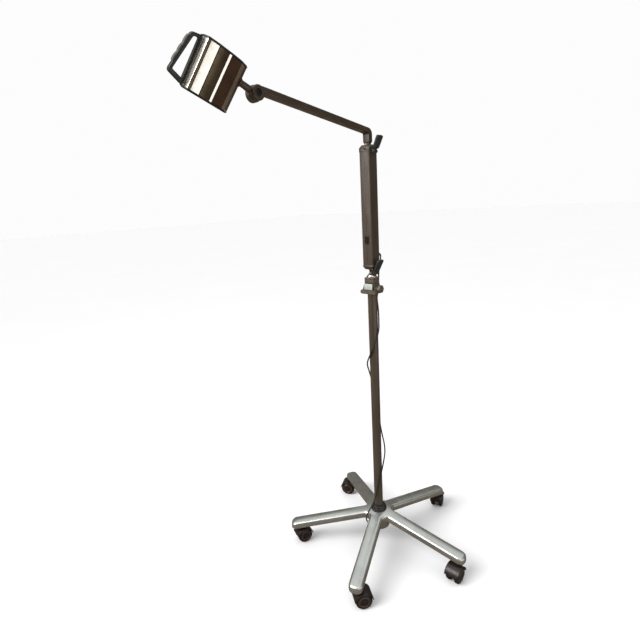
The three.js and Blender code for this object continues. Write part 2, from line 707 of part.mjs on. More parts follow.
function knuckleBolt() {
  const head = rod(7.5, 8.3, 12.3, 20);
  const shank = rod(BOLT_RADIUS, -NECK_DISC_BACK - 5.5, 9, 16);
  return alongMinusY(cut(join(head, shank), hexagon(4, 9.5, 14)));
}

function addBoom(light) {
  add(light, 'boom', boomBar(), 'taupePaint');
  add(light, 'boom_spigot', boomSpigot(), 'steel');
  const knuckle = groupAt(light, -BOOM_REACH, 0, KNUCKLE_HEIGHT);
  const washer = alongMinusY(tube(KNUCKLE_RADIUS - 1.5, BOLT_RADIUS + GAP, -0.5, 0.5));
  add(knuckle, 'friction_washer', washer, 'blackPlastic');
  add(knuckle, 'knuckle_bolt', knuckleBolt(), 'steel');
  const nut = hexagon(7.5, -NECK_DISC_BACK - 5, -NECK_DISC_BACK - GAP);
  const nutBore = rod(BOLT_RADIUS + GAP, -30, 0, 16);
  add(knuckle, 'knuckle_nut', alongMinusY(cut(nut, nutBore)), 'steel');
  return knuckle;
}

// ---- neck and head: local +X runs from the head to the knuckle along the neck ----
function neck() {
  const r = NECK_DISC_RADIUS;
  const back = -NECK_DISC_BACK;
  const disc = alongMinusY(turned([[0, back], [r - 2, back], [r, back + 2], [r, -0.8], [0, -0.8]]));
  const end = -NECK_LENGTH;
  const shoulder = 10;
  const arm = alongX(turned([
    [0, end - 10], [TENON_RADIUS, end - 10], [TENON_RADIUS, end + GAP], [shoulder, end + GAP],
    [shoulder, end + 4], [NECK_RADIUS, end + 7], [NECK_RADIUS, -22], [5, -20], [0, -20],
  ]));
  const web = block(-27, -8, 0.8, 6.5, -5.5, 5.5);
  const bore = alongMinusY(rod(BOLT_RADIUS + GAP, -30, 20, 16));
  return cut(join(disc, arm, web), bore);
}

// The head's own frame: s runs back from the handle edge, u across, t up from the handle plane.
function headX(s) {
  return s - NECK_LENGTH - HEAD_LENGTH;
}

const RIBBED_SIDE = [[0.8, 25], [23.5, 29.5], [52.4, 26.3], [81.4, 16.7], [HEAD_LENGTH, -5.4]];
const LENS_TILT = Math.atan2(LENS_DROP, HEAD_LENGTH);

// Height of the glass side, which slopes away from the handle plane.
function glassSide(s) {
  return -4 - (LENS_DROP * s) / HEAD_LENGTH;
}

// Side outline of the head, moved in by inset and raised by lift off the glass side.
function headProfile(inset, lift) {
  const [a, b, c, d, e] = RIBBED_SIDE;
  const k = inset;
  return [
    [k, glassSide(k) + lift], [a[0] + k, a[1] - k], [b[0], b[1] - k], [c[0] - 0.2 * k, c[1] - k],
    [d[0] - 0.4 * k, d[1] - 1.1 * k], [e[0] - k, e[1] - 0.55 * k], [e[0] - k, glassSide(e[0] - k) + lift],
  ];
}

function headSlab(profile, u0, u1) {
  const outline = polygon(profile.map(([s, t]) => [headX(s), t + HEAD_RISE]).reverse());
  return extrudeY(outline, u0 + HEAD_OFFSET, u1 + HEAD_OFFSET, 0);
}

function lampHousing() {
  const half = HEAD_WIDTH / 2;
  const shell = headSlab(headProfile(0, 0), -half, half);
  const inside = headSlab(headProfile(HEAD_WALL, -5), -half - 1, half + 1);
  const line = 23.5; // thin groove behind the widest land
  const slot = [[line, 28.4], [line, 31], [line + 1.6, 31], [line + 1.6, 28.2]];
  const groove = headSlab(slot, -half - 1, half + 1);
  const neckHole = alongX(rod(TENON_RADIUS + GAP, -NECK_LENGTH - 8, -NECK_LENGTH + 5));
  return cut(shell, inside, groove, neckHole);
}

function endCap(side) {
  const near = HEAD_WIDTH / 2 + GAP;
  const plate = headSlab(headProfile(-0.6, 0), near, near + 2.6);
  const crown = headSlab(headProfile(1.2, 1.8), near, near + 4);
  const lip = headSlab(headProfile(HEAD_WALL + GAP, 3), near - 2, near + 1);
  const lipHole = headSlab(headProfile(HEAD_WALL + 2, -5), near - 3, near);
  const cap = cut(join(plate, crown, lip), lipHole);
  if (side > 0) return cap;
  // the other cap is the mirror image across the middle of the head
  const position = cap.attributes.position;
  for (let i = 0; i < position.count; i++) position.setY(i, 2 * HEAD_OFFSET - position.getY(i));
  const index = cap.index;
  for (let i = 0; i < index.count; i += 3) {
    const first = index.getX(i);
    index.setX(i, index.getX(i + 1));
    index.setX(i + 1, first);
  }
  return cap;
}

function reflector() {
  const rim = 43;
  const rimHeight = 3.2;
  const depth = 27;
  const wall = 1.2;
  const outside = [];
  const inside = [];
  for (const r of [rim, 35, 26, 17, 8]) {
    const height = rimHeight + depth * (1 - (r / rim) ** 2);
    outside.push([r, height + wall]);
    inside.unshift([r, height]);
  }
  const lip = rim + 1.4;
  return turned([[lip, rimHeight], [lip, rimHeight + wall], ...outside, ...inside, [lip, rimHeight]], 28);
}

// A plate parallel to the glass side; heights are from the glass side.
function lensPlate(halfLength, halfWidth, low, high, radius) {
  return extrudeZ(roundedRectangle(-halfLength, halfLength, -halfWidth, halfWidth, radius), low, high, 0, 2);
}

function glassFrame() {
  const halfLength = HEAD_LENGTH / 2 / Math.cos(LENS_TILT);
  return cut(
    lensPlate(halfLength + 0.6, HEAD_WIDTH / 2 + 3, -3, -GAP, 3),
    lensPlate(halfLength - 7, HEAD_WIDTH / 2 - 5, -4, 1, 4),
  );
}

// A flat loop with a window for the fingers, drawn in (s, u).
function handleLoop() {
  const place = ([s, u]) => [headX(s), u + HANDLE_OFFSET];
  const rim = [
    [-1, -46], [-1, 43], [-3, 44], [-18, 40.5], [-21.8, 36.5], [-34.5, -35], [-32.5, -40], [-3, -48.5],
  ];
  const window = [[-5, -38], [-5, 36.5], [-15.5, 34.5], [-28, -32]];
  const outline = polygon(rim.map(place));
  outline.holes.push(polygon(window.map(place)));
  return extrudeZ(outline, HEAD_RISE - 5.5, HEAD_RISE + 5.5, 2);
}

function handleGrip() {
  const from = [-22.9, 32.5];
  const to = [-32.3, -20.5];
  const steps = 18;
  const along = [to[0] - from[0], to[1] - from[1]];
  const length = Math.hypot(...along);
  const out = [along[1] / length, -along[0] / length];
  const points = [];
  for (let i = 0; i <= steps; i++) {
    const f = i / steps;
    const proud = 1.2 + 1.6 * Math.abs(Math.sin(3 * Math.PI * f));
    points.push([from[0] + f * along[0] + proud * out[0], from[1] + f * along[1] + proud * out[1]]);
  }
  const outline = polygon([...points, to, from].map(([s, u]) => [headX(s), u + HANDLE_OFFSET]));
  return extrudeZ(outline, HEAD_RISE - 4, HEAD_RISE + 4, 0);
}

function neckNut() {
  const inner = -NECK_LENGTH - HEAD_WALL - GAP;
  const nut = hexagon(7.5, inner - 5, inner);
  return alongX(cut(nut, rod(TENON_RADIUS + GAP, inner - 8, inner + 3, 16)));
}

function addHead(knuckle) {
  const tilt = groupAt(knuckle, 0, 0, 0);
  tilt.rotation.y = NECK_TILT * RAD;
  add(tilt, 'neck', neck(), 'taupePaint');
  add(tilt, 'neck_nut', neckNut(), 'steel');
  const head = groupAt(tilt, 0, 0, 0);
  head.rotation.x = HEAD_ROLL * RAD;
  add(head, 'lamp_housing', lampHousing(), 'anodised');
  add(head, 'end_cap_top', endCap(1), 'blackPlastic');
  add(head, 'end_cap_bottom', endCap(-1), 'blackPlastic');
  add(head, 'handle_loop', handleLoop(), 'blackPlastic');
  add(head, 'handle_grip', handleGrip(), 'greyPaint');
  const middle = HEAD_LENGTH / 2;
  const lens = groupAt(head, headX(middle), HEAD_OFFSET, HEAD_RISE + glassSide(middle));
  lens.rotation.y = LENS_TILT;
  add(lens, 'reflector', reflector(), 'bright');
  const holder = turned([[0, 20], [7.4, 20], [7.4, 31.5], [10, 31.5], [10, 34.3], [0, 34.3]], 20);
  add(lens, 'lamp_holder', holder, 'white');
  const bulb = turned([[0, 6], [3, 6.8], [5, 9], [5.5, 12], [5.5, 19.7], [0, 19.7]], 16);
  add(lens, 'bulb', bulb, 'glass');
  add(lens, 'front_glass', lensPlate(51, HEAD_WIDTH / 2 - 3, 0, 2, 3), 'glass');
  add(lens, 'glass_frame', glassFrame(), 'blackPlastic');
}

const light = new THREE.Group();
const object = groupAt(light, 0, 0, -HUB_CAP_UNDERSIDE);
addBase(object);
addCastors(object);
addAdapter(object);
addColumn(object);
addHead(addBoom(object));

export default light;
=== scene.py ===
# Looks of the mobile surgical light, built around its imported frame.
# Lengths are millimetres and heights are above the floor, except for the stage and the camera, whose
# lengths are metres. The frame's own floor level and joint positions place every piece.
import json
import math

import bmesh
import bpy
from mathutils import Matrix, Vector


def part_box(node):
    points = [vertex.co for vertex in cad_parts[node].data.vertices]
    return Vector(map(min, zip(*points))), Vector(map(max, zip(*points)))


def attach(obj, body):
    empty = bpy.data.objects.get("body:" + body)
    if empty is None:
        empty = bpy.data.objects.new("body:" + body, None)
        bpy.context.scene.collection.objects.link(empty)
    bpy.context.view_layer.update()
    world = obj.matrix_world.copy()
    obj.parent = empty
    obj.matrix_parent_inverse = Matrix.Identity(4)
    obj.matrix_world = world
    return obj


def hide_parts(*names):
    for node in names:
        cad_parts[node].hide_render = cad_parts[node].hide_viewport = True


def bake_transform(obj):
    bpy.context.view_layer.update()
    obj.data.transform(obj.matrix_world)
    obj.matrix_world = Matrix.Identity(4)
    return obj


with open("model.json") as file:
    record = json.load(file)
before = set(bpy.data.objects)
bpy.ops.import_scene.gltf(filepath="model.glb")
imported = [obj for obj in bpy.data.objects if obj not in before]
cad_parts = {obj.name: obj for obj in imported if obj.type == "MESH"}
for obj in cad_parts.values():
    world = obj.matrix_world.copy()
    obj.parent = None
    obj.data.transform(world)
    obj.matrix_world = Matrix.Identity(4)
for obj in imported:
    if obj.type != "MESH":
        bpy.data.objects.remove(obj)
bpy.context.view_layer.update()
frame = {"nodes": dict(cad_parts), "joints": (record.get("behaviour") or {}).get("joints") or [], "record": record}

MM = 0.001
JOIN_DISTANCE = 0.002 * MM
THINNEST_EDGE = 0.0001 * MM
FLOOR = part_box("castor_1_wheels")[0].z
JOINTS = {joint["name"]: joint for joint in frame["joints"]}
ABOVE_FLOOR = Matrix.Translation((0, 0, FLOOR)) @ Matrix.Scale(MM, 4)

# base
ARM_COUNT = 5
BASE_RADIUS = 300
ARM_WIDTH = 42
ARM_DEPTH = 22
ARM_TIP_BOTTOM = 60
ARM_SLOPE = 0.172
ARM_CORNER = 17
ARM_ROUNDING = 9
ARM_CROWN = 1.2
ARM_WALL = 3.5
WEB_FILLET = 16
HUB_TOP = 128
HUB_EDGE = 3
HUB_BOTTOM = 65.3
HUB_BOSS_RADIUS = 34
COLLAR_TOP = 142
POLE_RADIUS = 14
POLE_BOTTOM = 80
POLE_TOP = 885.5
POLE_SOCKET = 14.3
CENTRE_HOLE = 0.01
CASTOR_RING = 278
FIRST_ARM = math.atan2(JOINTS["castor_1_swivel"]["pos_m"][1], JOINTS["castor_1_swivel"]["pos_m"][0])

# castors
WHEEL_RADIUS = 25
WHEEL_OUTER = 22
CASTOR_TRAIL = 17

# adapter and column
FLANGE_BOTTOM = 862
FLANGE_TOP = 876
BLOCK_TOP = 894
DOME_TOP = 921
KNOB_HEIGHT = 878
COLUMN_HALF = 17.5
TUBE_BOTTOM = 948.3
TUBE_TOP = 1259.7
SWITCH_HEIGHT = 1021
GLAND_HEIGHT = 976
GLAND_Y = -8
LEVER_LENGTH = 43.4
LEVER_LEAN = math.radians(27)

# boom and head
BOOM_HALF = 12
BOOM_THICKNESS = 13
BOOM_FOOT = 1281.3
BOOM_AXIS_HEIGHT = 1313
BOOM_OVER_KNUCKLE = 9
KNUCKLE_RADIUS = 16
NECK_DISC_RADIUS = 17
NECK_DISC_BACK = 16
BOLT_RECESS = 8
NECK_LENGTH = 47
HEAD_ROLL = math.radians(116.3)
HEAD_LENGTH = 107
HEAD_HALF = 45.7
HEAD_OFFSET = -16.7
HEAD_RISE = 15
HEAD_WALL = 2.5
HANDLE_SHIFT = 2
LENS_DROP = 23
CORD_RADIUS = 2.2


def in_scene(name, data):
    """New object with this data, linked into the scene."""
    obj = bpy.data.objects.new(name, data)
    bpy.context.scene.collection.objects.link(obj)
    return obj


# ---- shapes: each is (vertices, faces, material number of each face) ----
def around(radius, angle, x=0, y=0):
    """Point on a circle about (x, y)."""
    return x + radius * math.cos(angle), y + radius * math.sin(angle)


def lathe(profile, segments=64, bands=()):
    """Turned shape about Z from [radius, height] points; bands gives the material number per profile step."""
    vertices, faces, numbers, rings = [], [], [], []
    for radius, height in profile:
        if radius == 0:
            rings.append([len(vertices)] * segments)
            vertices.append((0, 0, height))
            continue
        rings.append(range(len(vertices), len(vertices) + segments))
        vertices += [(*around(radius, 2 * math.pi * k / segments), height) for k in range(segments)]
    for step, (low, high) in enumerate(zip(rings, rings[1:])):
        for k in range(segments):
            after = (k + 1) % segments
            corners = []
            for index in (low[k], low[after], high[after], high[k]):
                if index not in corners:
                    corners.append(index)
            if len(corners) > 2:
                faces.append(corners)
                numbers.append(bands[step] if step < len(bands) else 0)
    return vertices, faces, numbers


def skin(rings, count):
    """Faces between one ring of count vertices and the next, for a stack of rings."""
    faces = []
    for ring in range(rings - 1):
        low, high = ring * count, (ring + 1) * count
        for k in range(count):
            after = (k + 1) % count
            faces.append([low + k, low + after, high + after, high + k])
    return faces


def caps(rings, count):
    """The two end faces of a stack of rings."""
    last = (rings - 1) * count
    return [list(range(count))[::-1], [last + k for k in range(count)]]


def sweep(section, stations):
    """Carries a section of (across, up) points along stations, which are matrices; the ends are capped."""
    vertices = []
    for station in stations:
        vertices += [station @ Vector((0, across, up)) for across, up in section]
    faces = skin(len(stations), len(section)) + caps(len(stations), len(section))
    return vertices, faces, [0] * len(faces)


def stations_along(points, up=Vector((0, 0, 1))):
    """Matrices along a path whose X axis follows it."""
    points = [Vector(p) for p in points]
    made = []
    side = None
    for i, point in enumerate(points):
        forward = (points[min(i + 1, len(points) - 1)] - points[max(i - 1, 0)]).normalized()
        if side is None:
            side = up.cross(forward)
            if side.length < 1e-3:  # the path starts along up
                side = Vector((0, 1, 0))
        side = (side - forward * side.dot(forward)).normalized()
        above = forward.cross(side)
        turn = Matrix((forward, side, above)).transposed().to_4x4()
        made.append(Matrix.Translation(point) @ turn)
    return made


def smooth_path(points, steps):
    """Catmull-Rom curve through the points, with about steps points in every 100 mm."""
    points = [Vector(p) for p in points]
    ends = [2 * points[0] - points[1]] + points + [2 * points[-1] - points[-2]]
    path = []
    for i in range(len(points) - 1):
        a, b, c, d = ends[i:i + 4]
        count = max(2, round(steps * (c - b).length / 100))
        for k in range(count):
            t = k / count
            path.append(0.5 * (2 * b + (c - a) * t + (2 * a - 5 * b + 4 * c - d) * t * t
                               + (3 * b - a - 3 * c + d) * t ** 3))
    return path + [points[-1]]


def circle(radius, count=16):
    return [around(radius, 2 * math.pi * k / count) for k in range(count)]


def rounded_box_outline(x0, x1, y0, y1, radius, steps=6):
    corners = [(x1 - radius, y0 + radius, -90), (x1 - radius, y1 - radius, 0),
               (x0 + radius, y1 - radius, 90), (x0 + radius, y0 + radius, 180)]
    outline = []
    for x, y, start in corners:
        for k in range(steps + 1):
            outline.append(around(radius, math.radians(start + 90 * k / steps), x, y))
    return outline


def soften_corners(points, radius, steps=5):
    """Replaces each corner of a closed outline by a curve that starts radius away from it."""
    outline = []
    most = 0.45  # of a side's length, for either of its corners
    for i, point in enumerate(points):
        here = Vector(point)
        before = Vector(points[i - 1]) - here
        after = Vector(points[(i + 1) % len(points)]) - here
        first = here + before.normalized() * min(radius, before.length * most)
        last = here + after.normalized() * min(radius, after.length * most)
        for k in range(steps + 1):
            t = k / steps
            outline.append(tuple((1 - t) ** 2 * first + 2 * t * (1 - t) * here + t * t * last))
    return outline


def prism(outline, low, high):
    """Straight extrusion of an (x, y) outline along Z."""
    vertices = [(x, y, low) for x, y in outline] + [(x, y, high) for x, y in outline]
    faces = skin(2, len(outline)) + caps(2, len(outline))
    return vertices, faces, [0] * len(faces)


def plate(outlines, low, high, rounding, resolution=3):
    """Extrusion along Z of an outline and the outlines of its holes, with all edges rounded."""
    curve = bpy.data.curves.new("plate", "CURVE")
    curve.dimensions = "2D"
    curve.fill_mode = "BOTH"
    curve.extrude = (high - low) / 2 - rounding
    curve.bevel_depth = rounding
    curve.bevel_resolution = resolution
    curve.offset = -rounding
    for outline in outlines:
        spline = curve.splines.new("POLY")
        spline.points.add(len(outline) - 1)
        for point, (x, y) in zip(spline.points, outline):
            point.co = (x, y, 0, 1)
        spline.use_cyclic_u = True
    holder = in_scene("plate", curve)
    mesh = bpy.data.meshes.new_from_object(holder.evaluated_get(bpy.context.evaluated_depsgraph_get()))
    middle = (low + high) / 2
    vertices = [(v.co.x, v.co.y, v.co.z + middle) for v in mesh.vertices]
    faces = [list(p.vertices) for p in mesh.polygons]
    bpy.data.objects.remove(holder)
    bpy.data.meshes.remove(mesh)
    return vertices, faces, [0] * len(faces)


def placed(shape, matrix):
    """The shape moved by the matrix."""
    vertices, faces, numbers = shape
    return [tuple(matrix @ Vector(v)) for v in vertices], faces, numbers


def together(*shapes):
    """Several shapes as one."""
    vertices, faces, numbers = [], [], []
    for some_vertices, some_faces, some_numbers in shapes:
        start = len(vertices)
        vertices += some_vertices
        faces += [[start + k for k in face] for face in some_faces]
        numbers += some_numbers
    return vertices, faces, numbers


# ---- objects ----
def new_object(name, shape, matrix=ABOVE_FLOOR, crease=35):
    """Object of a shape, with doubled points joined and edges sharper than crease degrees kept sharp."""
    vertices, faces, numbers = shape
    mesh = bpy.data.meshes.new(name)
    mesh.from_pydata([matrix @ Vector(v) for v in vertices], [], faces)
    mesh.polygons.foreach_set("material_index", numbers)
    work = bmesh.new()
    work.from_mesh(mesh)
    bmesh.ops.remove_doubles(work, verts=work.verts, dist=JOIN_DISTANCE)
    bmesh.ops.dissolve_degenerate(work, edges=work.edges, dist=THINNEST_EDGE)
    bmesh.ops.recalc_face_normals(work, faces=work.faces)
    work.to_mesh(mesh)
    work.free()
    obj = in_scene(name, mesh)
    smooth(obj, crease)
    return obj


def smooth(obj, crease):
    obj.data.polygons.foreach_set("use_smooth", [True] * len(obj.data.polygons))
    obj.data.set_sharp_from_angle(angle=math.radians(crease))


def settle(obj, crease=None):
    """Turns the object's modifiers into its mesh."""
    bpy.context.view_layer.update()
    mesh = bpy.data.meshes.new_from_object(obj.evaluated_get(bpy.context.evaluated_depsgraph_get()))
    obj.modifiers.clear()
    obj.data = mesh
    mesh.name = obj.name
    if crease:
        smooth(obj, crease)
    return obj


def fused(obj, voxel=0.8, passes=6):
    """Melts overlapping closed shells into one cast or moulded body with soft fillets."""
    remesh = obj.modifiers.new("remesh", "REMESH")
    remesh.mode = "VOXEL"
    remesh.voxel_size = voxel * MM
    soft = obj.modifiers.new("soft", "SMOOTH")
    soft.factor = 0.5
    soft.iterations = passes
    return settle(obj, crease=60)


def carve(obj, *tools):
    """Cuts the tools out of the object and removes them."""
    for tool in tools:
        cutter = obj.modifiers.new("cut", "BOOLEAN")
        cutter.operation = "DIFFERENCE"
        cutter.solver = "EXACT"
        cutter.object = tool
    settle(obj, crease=35)
    for tool in tools:
        bpy.data.objects.remove(tool)
    return obj


def add(obj, body, slot, stands_for=(), materials=None):
    """Dresses a piece and, unless body is None, fixes it to that body."""
    numbers = [face.material_index for face in obj.data.polygons]
    obj.data.materials.clear()
    for material in materials or [MATERIALS[slot]]:
        obj.data.materials.append(material)
    obj.data.polygons.foreach_set("material_index", numbers)
    if stands_for:
        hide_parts(*stands_for)
    if body:
        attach(obj, body)
    return obj


# ---- materials ----
class Nodes:
    """Short names for building the nodes of a material or of the world."""

    def __init__(self, holder):
        holder.use_nodes = True
        self.holder = holder
        self.tree = holder.node_tree
        self.shader = self.tree.nodes.get("Principled BSDF")
        self.places = self.tree.nodes.new("ShaderNodeTexCoord").outputs

    def node(self, kind, **inputs):
        made = self.tree.nodes.new(kind)
        for key, value in inputs.items():
            self.set(made.inputs[key.replace("_", " ")], value)
        return made

    def set(self, socket, value):
        if isinstance(value, bpy.types.NodeSocket):
            self.tree.links.new(value, socket)
        else:
            socket.default_value = value

    def shade(self, **inputs):
        """Sets inputs of the material's own shader."""
        for key, value in inputs.items():
            self.set(self.shader.inputs[key.replace("_", " ")], value)

    def noise(self, size, detail=4, stretch=(1, 1, 1), turn=(0, 0, 0), roughness=0.55):
        """Noise whose features are about size millimetres, drawn out along the axes of stretch."""
        mapping = self.node("ShaderNodeMapping", Vector=self.places["Object"])
        mapping.inputs["Rotation"].default_value = turn
        mapping.inputs["Scale"].default_value = tuple(1 / (size * MM * s) for s in stretch)
        made = self.node("ShaderNodeTexNoise", Vector=mapping.outputs[0], Scale=1.0, Detail=detail,
                         Roughness=roughness)
        return made.outputs["Fac"]

    def ramp(self, value, low, high, to_low=0.0, to_high=1.0):
        made = self.node("ShaderNodeMapRange", Value=value)
        made.interpolation_type = "SMOOTHSTEP"
        for key, number in (("From Min", low), ("From Max", high), ("To Min", to_low), ("To Max", to_high)):
            made.inputs[key].default_value = number
        return made.outputs[0]

    def mix(self, factor, first, second):
        made = self.tree.nodes.new("ShaderNodeMix")
        made.data_type = "RGBA"
        self.set(made.inputs[0], factor)
        for socket, value in ((made.inputs[6], first), (made.inputs[7], second)):
            self.set(socket, (*value, 1) if isinstance(value, tuple) else value)
        return made.outputs[2]

    def combine(self, operation, first, second):
        made = self.tree.nodes.new("ShaderNodeMath")
        made.operation = operation
        self.set(made.inputs[0], first)
        self.set(made.inputs[1], second)
        return made.outputs[0]

    def edges(self, radius):
        """1 on convex and concave edges, 0 on flats, from a rounded copy of the normal."""
        rounded = self.tree.nodes.new("ShaderNodeBevel")
        rounded.samples = 4
        rounded.inputs["Radius"].default_value = radius * MM
        flat = self.tree.nodes.new("ShaderNodeNewGeometry")
        dot = self.tree.nodes.new("ShaderNodeVectorMath")
        dot.operation = "DOT_PRODUCT"
        self.set(dot.inputs[0], rounded.outputs[0])
        self.set(dot.inputs[1], flat.outputs["Normal"])
        return self.ramp(dot.outputs["Value"], 0.9, 0.995, 1.0, 0.0)

    def bump(self, height, strength, distance):
        made = self.node("ShaderNodeBump", Height=height, Strength=strength, Distance=distance * MM)
        self.shade(Normal=made.outputs[0])


def surface(name, colour, shade, roughness, metallic=0.0, patch=40, grain=0.6, relief=0.03,
            stretch=(1, 1, 1), turn=(0, 0, 0), worn=None, wear=1.2, spread=0.1, coat=0.0):
    """General finish: two tones in soft patches, fine grain in roughness and relief, and worn edges."""
    nodes = Nodes(bpy.data.materials.new(name))
    clouds = nodes.noise(patch, 5, stretch, turn)
    fine = nodes.noise(grain, 3, stretch, turn)
    tone = nodes.mix(nodes.ramp(clouds, 0.35, 0.68), colour, shade)
    if worn:
        scuffs = nodes.ramp(nodes.noise(6, 6), 0.42, 0.62)
        tone = nodes.mix(nodes.combine("MULTIPLY", nodes.edges(wear), scuffs), tone, worn)
    streaks = nodes.noise(patch * 0.4, 6, stretch, turn)
    rough = nodes.ramp(streaks, 0.3, 0.7, roughness - spread, roughness + spread)
    nodes.shade(Base_Color=tone, Roughness=rough, Metallic=metallic, Coat_Weight=coat)
    nodes.bump(fine, 0.5, relief)
    return nodes.holder


def clear(name, colour, roughness):
    """Clear glass with a faint haze."""
    nodes = Nodes(bpy.data.materials.new(name))
    haze = nodes.noise(30, 4)
    tone = nodes.mix(haze, colour, tuple(0.93 * c for c in colour))
    rough = nodes.ramp(haze, 0.3, 0.7, roughness, roughness + 0.06)
    nodes.shade(Base_Color=tone, Roughness=rough, Transmission_Weight=1.0, IOR=1.45)
    nodes.bump(nodes.noise(9, 2), 0.15, 0.05)
    return nodes.holder


# first tone, second tone, roughness and, for metals and paints, how metallic
TONES = {
    "cast_aluminium": ((0.56, 0.585, 0.57), (0.49, 0.51, 0.495), 0.30, 0.92),
    "painted_metal": ((0.086, 0.067, 0.050), (0.068, 0.050, 0.034), 0.40, 0.2),
    "cast_paint": ((0.155, 0.13, 0.105), (0.10, 0.078, 0.06), 0.5, 0.2),
    "lever_plastic": ((0.028, 0.034, 0.037), (0.018, 0.022, 0.024), 0.42),
    "black_plastic": ((0.008, 0.007, 0.0068), (0.013, 0.0115, 0.011), 0.42),
    "grip_plastic": ((0.13, 0.13, 0.13), (0.09, 0.09, 0.088), 0.6),
    "castor_plastic": ((0.016, 0.009, 0.008), (0.010, 0.006, 0.0055), 0.4),
    "steel": ((0.42, 0.41, 0.39), (0.30, 0.29, 0.27), 0.33, 1.0),
    "bright_metal": ((0.86, 0.86, 0.83), (0.74, 0.74, 0.71), 0.16, 1.0),
    "brass": ((0.62, 0.46, 0.2), (0.45, 0.32, 0.13), 0.34, 1.0),
    "label_card": ((0.62, 0.70, 0.66), (0.52, 0.60, 0.56), 0.5),
    "ceramic": ((0.8, 0.78, 0.72), (0.68, 0.65, 0.58), 0.3),
    "cord_rubber": ((0.009, 0.009, 0.009), (0.016, 0.015, 0.014), 0.5),
    "anodised": ((0.80, 0.80, 0.72), (0.70, 0.68, 0.60), 0.24, 0.75),
}
TEXTURES = {
    "cast_aluminium": dict(patch=60, grain=1.6, relief=0.015, worn=(0.72, 0.74, 0.73), wear=2.5,
                           spread=0.035),
    "painted_metal": dict(patch=45, grain=0.7, relief=0.015, stretch=(1, 1, 4), worn=(0.19, 0.17, 0.145),
                          wear=0.8, coat=0.12),
    "cast_paint": dict(patch=14, grain=0.9, relief=0.08, worn=(0.32, 0.29, 0.25)),
    "lever_plastic": dict(patch=18, grain=0.4, worn=(0.07, 0.08, 0.085), wear=0.6),
    "black_plastic": dict(patch=20, grain=0.5, worn=(0.035, 0.033, 0.03), wear=0.6),
    "grip_plastic": dict(patch=12, grain=0.5, relief=0.08, worn=(0.2, 0.2, 0.2)),
    "castor_plastic": dict(patch=15, grain=0.6, worn=(0.07, 0.045, 0.038), wear=0.8, spread=0.12),
    "steel": dict(patch=8, grain=0.3, worn=(0.6, 0.6, 0.58), wear=0.4),
    "bright_metal": dict(patch=9, grain=0.4, relief=0.01, spread=0.05),
    "brass": dict(patch=6, grain=0.3),
    "label_card": dict(patch=7, grain=0.8, relief=0.02),
    "ceramic": dict(patch=6, grain=0.5),
    "cord_rubber": dict(patch=10, grain=0.5, relief=0.04),
    "anodised": dict(patch=35, grain=0.35, stretch=(1, 8, 1), relief=0.004, spread=0.04),
}
MATERIALS = {name: surface(name, *TONES[name], **TEXTURES[name]) for name in TONES}
MATERIALS["glass"] = clear("glass", (0.93, 0.96, 0.96), 0.03)


def point_of(joint):
    """Where a joint is, in millimetres above the floor."""
    x, y, z = JOINTS[joint]["pos_m"]
    return Vector((x / MM, y / MM, (z - FLOOR) / MM))


TILT_AXIS = JOINTS["head_roll"]["axis"]
NECK_TILT = math.atan2(-TILT_AXIS[2], TILT_AXIS[0])
KNUCKLE = Matrix.Translation(point_of("neck_tilt")) @ Matrix.Rotation(NECK_TILT, 4, "Y")
HEAD = KNUCKLE @ Matrix.Rotation(HEAD_ROLL, 4, "X")
TOWARDS_MINUS_Y = Matrix.Rotation(math.pi / 2, 4, "X")
TOWARDS_X = Matrix.Rotation(math.pi / 2, 4, "Y")
AT_KNOB = Matrix.Translation((0, 0, KNOB_HEIGHT)) @ TOWARDS_MINUS_Y


def band(name, colour, shade, roughness, metallic):
    """Finish of one stripe of the ribbed housing, brushed along the extrusion. The stripes are lit and shaded
    copies of one housing finish, so their colours carry painted highlight, reflection and shade.
    """
    back = HEAD.to_3x3().inverted().to_euler()
    return surface(name, colour, shade, roughness, metallic, patch=22, grain=0.3, stretch=(1, 9, 1),
                   turn=tuple(back), relief=0.002, spread=0.03, worn=tuple(min(1, 1.5 * c) for c in colour),
                   wear=0.5)


# ---- base ----
def arm_angle(arm):
    """Direction of an arm, or of a place between two arms when the number is not whole."""
    return FIRST_ARM + 2 * math.pi * arm / ARM_COUNT


def star_ring(inset):
    """Outline of the star, moved inwards: (x, y, arm number plus -0.5 to 0.5 for the place in its sector)."""
    half = ARM_WIDTH / 2 - inset
    corner = ARM_CORNER - inset
    fillet = WEB_FILLET + inset
    bisector = math.pi / ARM_COUNT
    web = (ARM_WIDTH / 2 + WEB_FILLET) / math.sin(bisector)
    along = BASE_RADIUS - ARM_CORNER
    across = ARM_WIDTH / 2 - ARM_CORNER
    tip_steps, side_steps, web_steps = 12, 26, 10
    half_arm = []
    for k in range(tip_steps + 1):
        half_arm.append(around(corner, math.pi / 2 * k / tip_steps, along, across))
    web_points = []
    for k in range(web_steps + 1):
        angle = -math.pi / 2 - (math.pi / 2 - bisector) * k / web_steps
        web_points.append(around(fillet, angle, *around(web, bisector)))
    start = Vector(half_arm[-1])
    finish = Vector((web_points[0][0], half))
    for k in range(1, side_steps):
        half_arm.append(tuple(start.lerp(finish, k / side_steps)))
    half_arm += web_points
    count = len(half_arm) - 1
    ring = []
    for arm in range(ARM_COUNT):
        turn = Matrix.Rotation(arm_angle(arm), 2)
        sector = [(x, -y, -k / count) for k, (x, y) in enumerate(half_arm)][:0:-1]
        sector += [(x, y, k / count) for k, (x, y) in enumerate(half_arm)][:-1]
        for x, y, place in sector:
            point = turn @ Vector((x, y))
            ring.append((point.x, point.y, arm + place / 2))
    return ring


def cone_height(x, y):
    """How far the arms have risen at this place, from their tips to the hub."""
    return ARM_SLOPE * (BASE_RADIUS - math.hypot(x, y))


